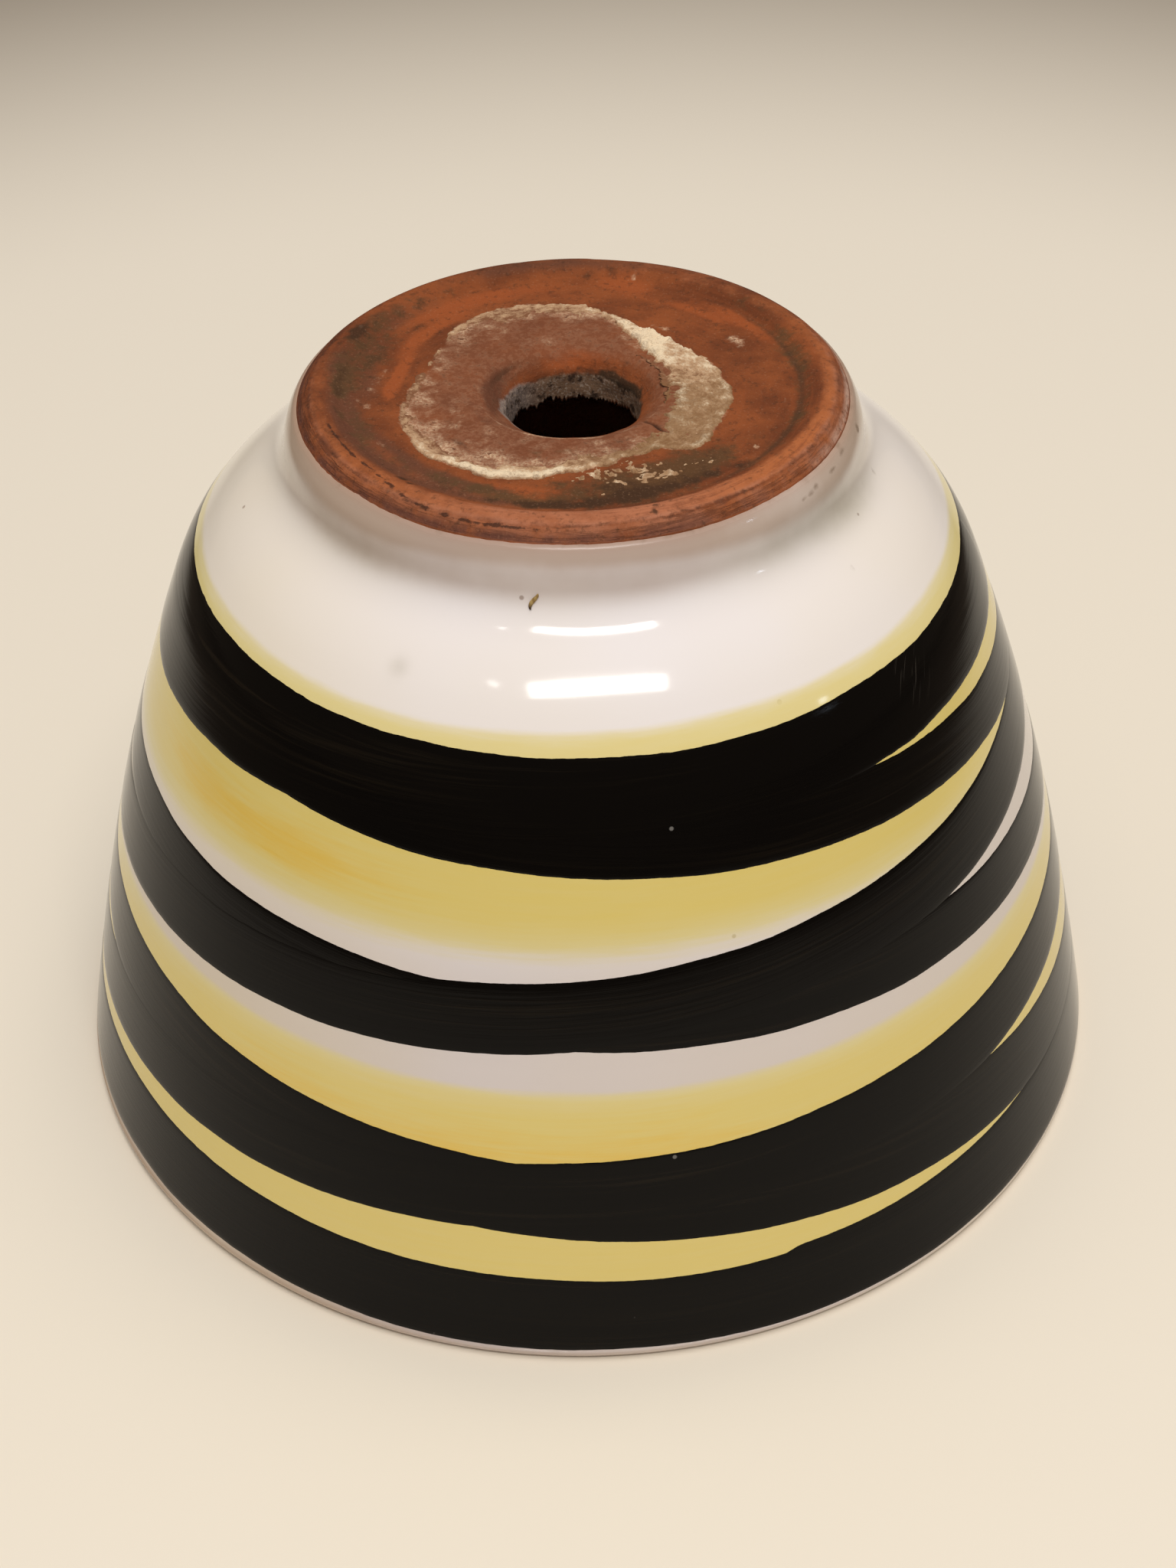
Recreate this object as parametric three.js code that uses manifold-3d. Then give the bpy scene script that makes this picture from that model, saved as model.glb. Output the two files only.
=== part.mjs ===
// Hand painted earthenware flowerpot, standing on its rim with the foot upwards.
// Millimetres, +Z up. The origin is the centre of the rim, in the plane that it stands on.
// Angles run round the pot from -Y towards +X, counted in whole turns.

import * as THREE from 'three';
import { mergeVertices } from 'three/addons/utils/BufferGeometryUtils.js';
import Module from 'manifold-3d';

const wasm = await Module();
wasm.setup();

// Overall form, measured on the glazed outside. Drops are heights below the standing ring of the foot.
const rimRadius = 82.2;
const rimLean = 11;
const potHeight = 114.4;
const shoulderRadius = 59.75;
const shoulderDrop = 30.4;
const shoulderLean = 21;
const neckRadius = 47.4;
const neckDrop = 14.6;
const neckLean = 52;
const footRadius = 41.5;
const footWallDrop = 7.2;
const footWallLean = 8;
const glazeLineRadius = 39;
const glazeLineDrop = 1.9;
const glazeLineLean = 50;

// Walls and coats
const clayWall = 5.2;
const glazeThickness = 0.5;
const yellowThickness = 0.12;
const blackThickness = 0.2;
const coatGap = 0.03;
const lipRound = 1.6;
const collarHeight = 24;

// Foot ring, recessed base and drain hole
const footRingWidth = 3;
const footRingRound = 2;
const footRingLean = 85;
const footRingInner = 32.3;
const baseRecess = 1.2;
const floorThickness = 6.8;
const floorRadius = 24;
const floorCornerHandle = 11;
const drainRadius = 9.5;
const drainMouthRadius = 12.9;
const drainMouthDepth = 2.8;
const drainEdgeRound = 0.8;

// Level brush work. The lower two are heights above the rim, the upper two above the shoulder.
const rimStrokeLow = 2.4;
const rimStrokeHigh = 15;
const lowerYellowLow = 9;
const lowerYellowHigh = 44;
const footStrokeLow = -3.6;
const footStrokeHigh = 6.9;
const upperYellowLow = -20;
const upperYellowHigh = 8.8;

// Spiral brush work. A row for each quarter turn holds the middle of the stroke, as a share of the
// way from the rim stroke's middle to the foot stroke's, and a share of the brush's width up the pot.
const risingWidth = 10.6;
const risingStartTurn = -0.75;
const risingRows = [[0.02, 0.98], [0.095, 0.98], [0.185, 1], [0.261, 1.04], [0.34, 1], [0.43, 0.98],
  [0.529, 0.98], [0.619, 0.99], [0.742, 1.02], [0.854, 1.01], [0.936, 1], [0.988, 1], [1, 1]];
const fallingWidth = 8.8;
const fallingStartTurn = -0.5;
const fallingRows = [[1, 1], [0.989, 1], [0.92, 1], [0.823, 0.9], [0.735, 0.9], [0.668, 0.91],
  [0.602, 0.91], [0.525, 1], [0.445, 1.13], [0.359, 1.25], [0.238, 1.37], [0.104, 1.3], [0, 1.3]];

// Lime crust round the drain hole: [outer radius, inner radius] for each twelfth of a turn
const crustThickness = 0.5;
const crustStartTurn = -0.5;
const crustRows = [[25.3, 20.5], [26.2, 21], [22.9, 20.4], [23.8, 21], [26.8, 22.6], [27.8, 22.2],
  [23, 18.2], [20.9, 17], [23.6, 15.4], [22.3, 14.4], [19.9, 14.2], [20.4, 15.6]];

// Fineness
const facetsRound = 48;
const handleShare = 0.36;

const clay = new THREE.MeshStandardMaterial({ color: 0x9a4a28, roughness: 0.85, metalness: 0 });
const whiteGlaze = new THREE.MeshStandardMaterial({ color: 0xded6d6, roughness: 0.12, metalness: 0 });
const yellowGlaze = new THREE.MeshStandardMaterial({ color: 0xd6bd5e, roughness: 0.12, metalness: 0 });
const blackGlaze = new THREE.MeshStandardMaterial({ color: 0x15110f, roughness: 0.1, metalness: 0 });
const lime = new THREE.MeshStandardMaterial({ color: 0xcdb48c, roughness: 0.95, metalness: 0 });

const radians = THREE.MathUtils.degToRad;
const point = (r, z) => new THREE.Vector2(r, z);

// A curve in the half plane of radius and height that leaves and arrives at given leans.
// A lean is the angle from upright, positive towards the axis.
function leaningCurve(from, fromLean, to, toLean) {
  const handle = from.distanceTo(to) * handleShare;
  const along = (lean) => point(-Math.sin(radians(lean)), Math.cos(radians(lean))).multiplyScalar(handle);
  return new THREE.CubicBezierCurve(
    from, from.clone().add(along(fromLean)), to.clone().sub(along(toLean)), to);
}

// The glazed outside from the rim to the glaze line: [curve, number of steps along it]
const rimStart = point(rimRadius, lipRound * (1 + Math.sin(radians(rimLean))));
const shoulder = point(shoulderRadius, potHeight - shoulderDrop);
const neck = point(neckRadius, potHeight - neckDrop);
const footWall = point(footRadius, potHeight - footWallDrop);
const glazeLine = point(glazeLineRadius, potHeight - glazeLineDrop);
const outsideCurves = [
  [leaningCurve(rimStart, rimLean, shoulder, shoulderLean), 6],
  [leaningCurve(shoulder, shoulderLean, neck, neckLean), 3],
  [leaningCurve(neck, neckLean, footWall, footWallLean), 3],
  [leaningCurve(footWall, footWallLean, glazeLine, glazeLineLean), 2],
];

// Stations up the outside, each with its place and the direction into the wall
function outsideStations(curves) {
  const stations = [];
  for (const [curve, steps] of curves) {
    for (let i = stations.length ? 1 : 0; i <= steps; i += 1) {
      const along = curve.getTangent(i / steps);
      stations.push({ at: curve.getPoint(i / steps), into: point(-along.y, along.x) });
    }
  }
  return stations;
}
const outside = outsideStations(outsideCurves);
const wall = outsideStations(outsideCurves.slice(0, 2));

// The stations moved into the wall by a depth, or out of it by a negative one
const layer = (stations, depth) => stations.map(({ at, into }) => at.clone().addScaledVector(into, depth));

// Points of an arc in the half plane, angles in degrees from the outward direction
function arcPoints(centre, radius, fromAngle, toAngle, steps) {
  return Array.from({ length: steps + 1 }, (unused, i) => {
    const angle = radians(fromAngle + ((toAngle - fromAngle) * i) / steps);
    return point(centre.x + radius * Math.cos(angle), centre.y + radius * Math.sin(angle));
  });
}

// The stations below a height, with one more exactly there
function cutAt(stations, height) {
  const above = stations.findIndex(({ at }) => at.y > height);
  const lower = stations[above - 1];
  const upper = stations[above];
  const share = (height - lower.at.y) / (upper.at.y - lower.at.y);
  const cut = { at: lower.at.clone().lerp(upper.at, share), into: lower.into.clone().lerp(upper.into, share) };
  return [...stations.slice(0, above), cut];
}

// The lip turns from the outside to the flat that the pot stands on, then up to the inside
const claySkin = glazeThickness + coatGap;
const coatedWall = clayWall + 2 * claySkin;
const lipDirection = point(Math.cos(radians(rimLean)), Math.sin(radians(rimLean)));
const outerLipCentre = rimStart.clone().addScaledVector(lipDirection, -lipRound);
const innerLipCentre = (() => {
  const across = rimStart.clone().addScaledVector(lipDirection, lipRound - coatedWall);
  const slide = (lipRound - across.y) / lipDirection.x;
  return point(across.x - slide * lipDirection.y, lipRound);
})();
const lipSteps = 2;
function lipPoints(depth) {
  const round = lipRound - depth;
  return [
    ...arcPoints(outerLipCentre, round, rimLean, -90, lipSteps),
    ...arcPoints(innerLipCentre, round, -90, rimLean - 180, lipSteps),
  ];
}

// A closed outline turned round the axis. Its points run clockwise, seen with the axis on the left.
function turned(outline) {
  const geometry = new THREE.LatheGeometry([...outline, outline[0]], facetsRound);
  geometry.rotateX(Math.PI / 2);
  return weld(geometry);
}

function weld(geometry) {
  geometry.deleteAttribute('normal');
  geometry.deleteAttribute('uv');
  return mergeVertices(geometry, 1e-4);
}

function solid(geometry) {
  return new wasm.Manifold(new wasm.Mesh({
    numProp: 3,
    vertProperties: new Float32Array(geometry.attributes.position.array),
    triVerts: new Uint32Array(geometry.index.array),
  }));
}

function geometryOf(body) {
  const mesh = body.getMesh();
  const geometry = new THREE.BufferGeometry();
  geometry.setAttribute('position', new THREE.BufferAttribute(new Float32Array(mesh.vertProperties), 3));
  geometry.setIndex(new THREE.BufferAttribute(new Uint32Array(mesh.triVerts), 1));
  return geometry;
}

// Clay: wall, floor, foot ring, recessed base and drain hole in one fired piece
function clayOutline() {
  const inside = layer(wall.slice(1), claySkin + clayWall);
  const baseHeight = potHeight - baseRecess;
  const floorHeight = baseHeight - floorThickness;
  const wallEnd = inside.at(-1);
  const floorEdge = point(floorRadius, floorHeight);
  const corner = new THREE.CubicBezierCurve(
    wallEnd,
    wallEnd.clone().addScaledVector(wallEnd.clone().sub(inside.at(-2)).normalize(), floorCornerHandle / 2),
    floorEdge.clone().add(point(floorCornerHandle, 0)),
    floorEdge);
  const outer = layer(outside, claySkin);
  const ringOuter = point(footRingInner + footRingRound + footRingWidth, potHeight);
  const ringEdge = leaningCurve(outer.at(-1), glazeLineLean, ringOuter, footRingLean);
  return [
    ...outer,
    ...ringEdge.getPoints(3).slice(1),
    point(footRingInner + footRingRound, potHeight),
    point(footRingInner, baseHeight),
    point(drainMouthRadius, baseHeight),
    point(drainRadius + drainEdgeRound, baseHeight - drainMouthDepth + drainEdgeRound),
    point(drainRadius, baseHeight - drainMouthDepth - drainEdgeRound),
    point(drainRadius, floorHeight + drainEdgeRound),
    point(drainRadius + drainEdgeRound, floorHeight),
    ...corner.getPoints(4).slice(1).reverse(),
    ...inside.reverse(),
    ...lipPoints(claySkin).reverse(),
  ];
}

// White glaze: one dipped coat over the outside, round the lip and part of the way down the inside
function glazeOutline() {
  const collar = cutAt(wall, collarHeight).slice(1);
  return [
    ...layer(outside, 0),
    ...layer(outside, glazeThickness).reverse(),
    ...lipPoints(glazeThickness),
    ...layer(collar, coatedWall - glazeThickness),
    ...layer(collar, coatedWall).reverse(),
    ...lipPoints(0).reverse(),
  ];
}

// A film on the painted wall between two heights above the glaze
function film(bottom, top) {
  return solid(turned([...layer(wall, -top), ...layer(wall, -bottom).reverse()]));
}

// A solid strip through four-cornered sections, each standing in the half plane at its turn.
// corners: [radius, height] of each corner. A closed strip joins its last section to its first.
function strip(sections, closed) {
  const positions = sections.flatMap(({ turn, corners }) => {
    const angle = 2 * Math.PI * turn;
    return corners.flatMap(([r, z]) => [r * Math.sin(angle), -r * Math.cos(angle), z]);
  });
  const count = sections.length;
  const index = [];
  for (let i = 0; i < (closed ? count : count - 1); i += 1) {
    const here = 4 * i;
    const next = 4 * ((i + 1) % count);
    for (let k = 0; k < 4; k += 1) {
      const other = (k + 1) % 4;
      index.push(here + k, next + k, next + other, here + k, next + other, here + other);
    }
  }
  if (!closed) {
    const last = 4 * (count - 1);
    index.push(0, 1, 2, 0, 2, 3, last, last + 2, last + 1, last, last + 3, last + 2);
  }
  const geometry = new THREE.BufferGeometry();
  geometry.setAttribute('position', new THREE.Float32BufferAttribute(positions, 3));
  geometry.setIndex(index);
  return geometry;
}

// The space that a brush stroke sweeps, from well inside the wall to well outside it
function sweep(stations, closed) {
  const inner = footRadius / 2;
  const outer = rimRadius * 1.5;
  const sections = stations.map(({ turn, low, high }) => (
    { turn, corners: [[inner, low], [outer, low], [outer, high], [inner, high]] }));
  return solid(strip(sections, closed));
}

// A level stroke is a ring of constant height
function levelStroke(low, high) {
  const stations = Array.from({ length: facetsRound }, (unused, i) => ({ turn: i / facetsRound, low, high }));
  return sweep(stations, true);
}

// A climbing or falling stroke drawn as one smooth line through its rows
function spiralStroke(startTurn, brushWidth, rows) {
  const line = new THREE.SplineCurve(rows.map(([share, width]) => point(share, width)));
  const rimMiddle = (rimStrokeLow + rimStrokeHigh) / 2;
  const footMiddle = shoulder.y + (footStrokeLow + footStrokeHigh) / 2;
  const quarters = rows.length - 1;
  const facets = (quarters * facetsRound) / 4;
  const stations = Array.from({ length: facets + 1 }, (unused, i) => {
    const { x: share, y: width } = line.getPoint(i / facets);
    const middle = THREE.MathUtils.lerp(rimMiddle, footMiddle, share);
    const half = (brushWidth * width) / 2;
    return { turn: startTurn + i / facetsRound, low: middle - half, high: middle + half };
  });
  return sweep(stations, false);
}

// Lime crust: a low ring on the base between two uneven closed edges, bevelled at both
function crustBody() {
  const edges = crustRows.map(([outer, inner]) => new THREE.Vector3(outer, inner, 0));
  const line = new THREE.CatmullRomCurve3(edges, true, 'catmullrom', 0.5);
  const seat = potHeight - baseRecess + coatGap;
  const top = seat + crustThickness;
  const sections = Array.from({ length: facetsRound }, (unused, i) => {
    const { x: outer, y: inner } = line.getPoint(i / facetsRound);
    const corners = [[inner, seat], [outer, seat], [outer - crustThickness, top], [inner + crustThickness, top]];
    return { turn: crustStartTurn + i / facetsRound, corners };
  });
  return strip(sections, true);
}

const yellowFilm = film(coatGap, coatGap + yellowThickness);
const blackSeat = coatGap + yellowThickness + coatGap;
const blackFilm = film(blackSeat, blackSeat + blackThickness);
const blackStrokes = levelStroke(rimStrokeLow, rimStrokeHigh)
  .add(levelStroke(shoulder.y + footStrokeLow, shoulder.y + footStrokeHigh))
  .add(spiralStroke(risingStartTurn, risingWidth, risingRows))
  .add(spiralStroke(fallingStartTurn, fallingWidth, fallingRows));

const pot = new THREE.Group();
function addPiece(name, geometry, material) {
  const mesh = new THREE.Mesh(geometry, material);
  mesh.name = name;
  pot.add(mesh);
}

addPiece('clay_body', turned(clayOutline()), clay);
addPiece('white_glaze', turned(glazeOutline()), whiteGlaze);
const lowerWash = levelStroke(lowerYellowLow, lowerYellowHigh);
const upperWash = levelStroke(shoulder.y + upperYellowLow, shoulder.y + upperYellowHigh);
addPiece('lower_yellow_wash', geometryOf(yellowFilm.intersect(lowerWash)), yellowGlaze);
addPiece('upper_yellow_wash', geometryOf(yellowFilm.intersect(upperWash)), yellowGlaze);
addPiece('black_brushwork', geometryOf(blackFilm.intersect(blackStrokes)), blackGlaze);
addPiece('lime_crust', crustBody(), lime);

export default pot;
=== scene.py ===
import math

import bpy
import numpy as np
from mathutils import Matrix, Quaternion, Vector


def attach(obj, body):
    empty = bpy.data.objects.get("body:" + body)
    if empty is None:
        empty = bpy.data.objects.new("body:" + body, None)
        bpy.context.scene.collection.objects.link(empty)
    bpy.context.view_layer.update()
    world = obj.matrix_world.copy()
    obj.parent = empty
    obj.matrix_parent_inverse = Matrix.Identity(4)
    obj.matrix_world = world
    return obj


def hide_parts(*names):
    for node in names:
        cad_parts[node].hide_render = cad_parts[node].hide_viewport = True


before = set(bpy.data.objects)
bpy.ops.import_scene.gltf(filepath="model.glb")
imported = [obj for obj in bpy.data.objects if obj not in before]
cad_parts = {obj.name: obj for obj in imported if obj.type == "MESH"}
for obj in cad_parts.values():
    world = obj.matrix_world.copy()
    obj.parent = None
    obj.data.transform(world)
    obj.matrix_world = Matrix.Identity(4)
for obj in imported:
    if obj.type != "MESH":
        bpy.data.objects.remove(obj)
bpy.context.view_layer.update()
print("pot: CAD frame loaded")

# Sizes are in millimetres and become metres when a mesh is made. The pot stands on its rim, and a
# turn is a share of a full circle, from the side nearest the camera towards +X.
mm = 0.001

form = {
    "rimStart": (82.2, 1.905, 11),      # knots up the glazed outside: radius, height, lean in degrees
    "shoulder": (59.75, 84.0, 21),
    "neck": (47.4, 99.8, 52),
    "footWall": (41.5, 107.2, 8),
    "glazeLine": (39.0, 112.5, 50),
    "handleShare": 0.36,
    "lipRound": 1.6,
    "coatedWall": 6.26,                 # the clay with a coat on each side
    "glaze": 0.5,
    "claySkin": 0.53,                   # how deep the clay lies under the glaze's surface
    "base": 113.2,
    "waves": [(0.02, 9, 26, 3), (0.005, 30, 7, 4)],     # layers of unevenness, as mottles takes them
    "trueFrom": 112,                    # height above which the wall is true
}


# Small numpy tools

def leaningCurve(start, end, count):
    # Cubic Bezier between two (radius, height, lean) knots: the sum of Bernstein weights times four
    # points, of which the middle two lie a share of the chord along the leans.
    (r0, z0, a0), (r1, z1, a1) = start, end
    reach = form["handleShare"] * math.hypot(r1 - r0, z1 - z0)
    a0, a1 = math.radians(a0), math.radians(a1)
    b = (r0 - reach * math.sin(a0), z0 + reach * math.cos(a0))
    c = (r1 + reach * math.sin(a1), z1 - reach * math.cos(a1))
    t = np.linspace(0, 1, count)[:, None]
    points = [np.array(p, float) for p in ((r0, z0), b, c, (r1, z1))]
    return ((1 - t) ** 3 * points[0] + 3 * (1 - t) ** 2 * t * points[1]
            + 3 * (1 - t) * t ** 2 * points[2] + t ** 3 * points[3])


def smoothRows(rows, at, closed=False):
    # Catmull-Rom through evenly spaced rows, read at places counted in rows
    rows = np.asarray(rows, float)
    last = len(rows) - 1
    i = np.floor(at).astype(int)
    i = i if closed else np.clip(i, 0, last - 1)
    t = (at - i).reshape(at.shape + (1,) * (rows.ndim - 1))
    pick = (lambda k: rows[k % len(rows)]) if closed else (lambda k: rows[np.clip(k, 0, last)])
    a, b, c, d = pick(i - 1), pick(i), pick(i + 1), pick(i + 2)
    return 0.5 * (2 * b + (c - a) * t + (2 * a - 5 * b + 4 * c - d) * t ** 2
                  + (3 * b - a - 3 * c + d) * t ** 3)


def fromBack(rows, turn):
    # Smooth rows that stand at even steps round the pot, the first at the back
    return smoothRows(rows, (np.asarray(turn) + 0.5) % 1 * len(rows), closed=True)


def evenly(line, spacing):
    # The same line with points at equal steps of length
    steps = np.hypot(*np.diff(line, axis=0).T)
    along = np.concatenate([[0], np.cumsum(steps)])
    at = np.linspace(0, along[-1], max(2, int(round(along[-1] / spacing)) + 1))
    return np.stack([np.interp(at, along, line[:, 0]), np.interp(at, along, line[:, 1])], -1)


def drawnLine(points, spacing):
    # A smooth line through given (radius, height) points
    at = np.linspace(0, len(points) - 1, 40 * len(points))
    return evenly(smoothRows(points, at), spacing)


def ease(x):
    # 0 below 0, 1 above 1, and 3x^2 - 2x^3 between
    x = np.clip(x, 0, 1)
    return x * x * (3 - 2 * x)


def ripple(turn, seed, low, high):
    # A wavy line that closes on itself: cosines of low to high whole waves, with seeded phases and
    # amplitudes 1/n, scaled to a spread of about 1
    rng = np.random.default_rng(seed)
    waves = np.arange(low, high + 1)
    phase, size = rng.uniform(0, 2 * np.pi, len(waves)), rng.uniform(0.4, 1, len(waves)) / waves
    flat = np.asarray(turn).ravel()
    total = (size * np.cos(2 * np.pi * flat[:, None] * waves + phase)).sum(1)
    return (total / np.sqrt((size ** 2).sum() / 2) / 2).reshape(np.shape(turn))


def mottle(turn, cells, across, seed):
    # Smooth patches from -1 to 1: random numbers on a lattice with a whole number of cells round
    # the pot, eased between neighbours
    rows = 97       # across, before the pattern comes again
    table = np.random.default_rng(seed).uniform(-1, 1, (cells, rows))
    turn, across = np.broadcast_arrays(turn * cells, across)
    i, j = np.floor(turn).astype(int), np.floor(across).astype(int)
    s, t = ease(turn - i), ease(across - j)
    at = lambda a, b: table[a % cells, b % rows]
    return ((at(i, j) * (1 - s) + at(i + 1, j) * s) * (1 - t)
            + (at(i, j + 1) * (1 - s) + at(i + 1, j + 1) * s) * t)


def ripples(turn, layers):
    # Each layer is how far it goes, seed, fewest and most waves, and the layers add up
    return sum(far * ripple(turn, *layer) for far, *layer in layers)


def mottles(turn, across, layers):
    # Each layer is how far it goes, patches round the pot, size of one across and seed
    return sum(far * mottle(turn, cells, across / size, seed) for far, cells, size, seed in layers)


def wholeTurn(count):
    # Even steps once round the pot, one to a row
    return np.arange(count)[:, None] / count


def wayRound(turn, place):
    # The shorter way round from a place, in turns
    return (turn - place + 0.5) % 1 - 0.5


def bell(away, halfWidth):
    # e^(-d^2) with d the distance in half widths
    return np.exp(-(away / halfWidth) ** 2)


def patch(turn, across, place, middle, halfLength, halfWidth, radius=None):
    # The same for a spot, with d from half lengths round the pot and half widths across
    away = wayRound(turn, place) * 2 * np.pi * (radius or middle) / halfLength
    return np.exp(-away ** 2 - ((across - middle) / halfWidth) ** 2)


def patches(turn, across, marks, radius=None):
    # Marks are place, middle, half length, half width and strength, and the strengths add up
    return sum(strength * patch(turn, across, *spot, radius) for *spot, strength in marks)


def circle(turn, line):
    # Points at radius and height (the last axis of line) on the half plane at each turn
    angle = 2 * np.pi * turn
    r, z = line[..., 0], line[..., 1]
    return np.stack(np.broadcast_arrays(r * np.sin(angle), -r * np.cos(angle), z), -1)


def closeUnder(turn, top, under, values):
    # A skin carried round with its underside, where every value is nil
    fill = lambda value: np.concatenate([np.broadcast_to(value, top.shape[:2]),
                                         np.zeros(under.shape[:2])], 1)
    grid = circle(turn, np.concatenate([top, under], 1))
    return grid, {label: fill(value) for label, value in values.items()}


# The outside of the glaze

knots = [form[k] for k in ("rimStart", "shoulder", "neck", "footWall", "glazeLine")]
outside = np.concatenate([leaningCurve(a, b, 160)[:-1] for a, b in zip(knots, knots[1:])]
                         + [np.array([knots[-1][:2]])])
alongOutside = np.gradient(outside, axis=0)
alongOutside /= np.hypot(*alongOutside.T)[:, None]
intoWall = np.stack([-alongOutside[:, 1], alongOutside[:, 0]], -1)


def relief(turn, height):
    # The slight unevenness that throwing and dipping leave, the same under every coat
    return mottles(turn, height, form["waves"]) * ease((form["trueFrom"] - height) / 8)


def onWall(turn, height, lift):
    # Radius and height of a point that stands off the nominal glaze surface by a lift
    r = np.interp(height, outside[:, 1], outside[:, 0])
    toR = np.interp(height, outside[:, 1], intoWall[:, 0])
    toZ = np.interp(height, outside[:, 1], intoWall[:, 1])
    lift = lift + relief(turn, height)
    return np.stack(np.broadcast_arrays(r - toR * lift, height - toZ * lift), -1)


def arc(centre, radius, start, end, count):
    angle = np.radians(np.linspace(start, end, count))
    return np.stack([centre[0] + radius * np.cos(angle), centre[1] + radius * np.sin(angle)], -1)


def lipLine(depth, count=9):
    # Round the lip from the outside to the flat landing and on to the inside
    r, z, lean = form["rimStart"]
    round_, wall = form["lipRound"], form["coatedWall"]
    c, s = math.cos(math.radians(lean)), math.sin(math.radians(lean))
    outer = (r - round_ * c, z - round_ * s)
    across = (r + (round_ - wall) * c, z + (round_ - wall) * s)
    slide = (outer[1] - across[1]) / c
    inner = (across[0] - slide * s, outer[1])
    return np.concatenate([arc(outer, round_ - depth, lean, -90, count),
                           arc(inner, round_ - depth, -90, lean - 180, count)])


# Meshes and pieces

def makeMesh(name, grid, around, uvSize, values):
    # Four-sided faces between neighbouring points of a grid. It closes on itself across, and also
    # round the pot if around is set. uv runs evenly along both, to the given size. values holds one
    # number per point.
    n, m = grid.shape[:2]
    i = np.arange(n if around else n - 1)[:, None]
    j = np.arange(m)[None, :]
    corners = [(i, j), (i + 1, j), (i + 1, j + 1), (i, j + 1)]
    quads = np.stack([np.broadcast_to((a % n) * m + b % m, (i.size, j.size)) for a, b in corners], -1)
    uv = np.stack([np.stack(np.broadcast_arrays(a / n * uvSize[0], b / m * uvSize[1]), -1)
                   for a, b in corners], 2)
    quads, uv = quads.reshape(-1, 4), uv.reshape(-1, 4, 2)
    points = grid.reshape(-1, 3) * mm
    p = points[quads]
    volume = (np.cross(p[:, 0], p[:, 1]) * p[:, 2] + np.cross(p[:, 0], p[:, 2]) * p[:, 3]).sum()
    if volume < 0:  # turned inside out
        quads, uv = quads[:, ::-1], uv[:, ::-1]
    mesh = bpy.data.meshes.new(name)
    mesh.vertices.add(len(points))
    mesh.vertices.foreach_set("co", np.ascontiguousarray(points, np.float32).ravel())
    mesh.loops.add(quads.size)
    mesh.loops.foreach_set("vertex_index", np.ascontiguousarray(quads, np.int32).ravel())
    mesh.polygons.add(len(quads))
    mesh.polygons.foreach_set("loop_start", np.arange(0, quads.size, 4, dtype=np.int32))
    mesh.polygons.foreach_set("use_smooth", np.ones(len(quads), bool))
    mesh.update(calc_edges=True)
    layer = mesh.uv_layers.new(name="alongAcross")
    layer.data.foreach_set("uv", np.ascontiguousarray(uv, np.float32).ravel())
    for label, value in values.items():
        attribute = mesh.attributes.new(label, "FLOAT", "POINT")
        value = np.broadcast_to(value, (n, m))
        attribute.data.foreach_set("value", np.ascontiguousarray(value, np.float32).ravel())
    mesh.validate()
    return mesh


def addPiece(name, grid, material, node, values, around=True, uvSize=(1, 1)):
    mesh = makeMesh(name, grid, around, uvSize, values)
    mesh.materials.append(material)
    piece = bpy.data.objects.new(name, mesh)
    bpy.context.collection.objects.link(piece)
    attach(piece, "root")
    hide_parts(node)
    print("pot:", name, len(mesh.polygons), "faces")
    return piece


# Shader tools

def tint(red, green, blue):
    # A colour written in 0 to 255 as it looks, turned to Blender's linear one
    return tuple(((c / 255 + 0.055) / 1.055) ** 2.4 if c > 10 else c / 3294.6
                 for c in (red, green, blue)) + (1,)


def add(tree, kind, values=None, **settings):
    node = tree.nodes.new(kind)
    node.location = (190 * (len(tree.nodes) % 12), -240 * (len(tree.nodes) // 12))
    for key, value in settings.items():
        setattr(node, key, value)
    for key, value in (values or {}).items():
        if isinstance(value, bpy.types.NodeSocket):
            tree.links.new(value, node.inputs[key])
        else:
            node.inputs[key].default_value = value
    return node


def feed(kind, values, **settings):
    # A node that other nodes lead into, in the same tree as they are
    sockets = [value for value in values.values() if isinstance(value, bpy.types.NodeSocket)]
    return add(sockets[0].id_data, kind, values, **settings)


def calc(operation, *values):
    return feed("ShaderNodeMath", dict(enumerate(values)), operation=operation).outputs[0]


def plus(first, second):
    return calc("ADD", first, second)


def times(first, second):
    return calc("MULTIPLY", first, second)


def unsettle(value, noise, strength):
    # A value pushed up and down by noise that runs about a half
    return plus(value, times(calc("SUBTRACT", noise, 0.5), strength))


def mixColour(share, first, second, how="MIX"):
    return feed("ShaderNodeMix", {0: share, 6: first, 7: second},
                data_type="RGBA", blend_type=how, clamp_factor=False).outputs[2]


def lay(under, over, mask, most, how="MIX"):
    # One colour over another where a mask is, at most by the given share
    return mixColour(times(mask, most), under, over, how)


def mixNumber(share, first, second):
    return feed("ShaderNodeMix", {0: share, 2: first, 3: second}, data_type="FLOAT").outputs[0]


def fit(value, low, high, toLow=0.0, toHigh=1.0):
    values = {"Value": value, "From Min": low, "From Max": high, "To Min": toLow, "To Max": toHigh}
    return feed("ShaderNodeMapRange", values, interpolation_type="SMOOTHSTEP").outputs[0]


def grain(vector, scale, detail=3.0, rough=0.5):
    values = {"Vector": vector, "Scale": scale, "Detail": detail, "Roughness": rough}
    return feed("ShaderNodeTexNoise", values).outputs[0]


def drawnGrain(vector, stretch, detail, rough=0.5):
    # Grain that is drawn out unevenly: the vector is multiplied by the stretch first
    values = {0: vector, 1: stretch}
    finer = feed("ShaderNodeVectorMath", values, operation="MULTIPLY").outputs[0]
    return grain(finer, 1.0, detail, rough)


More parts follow.
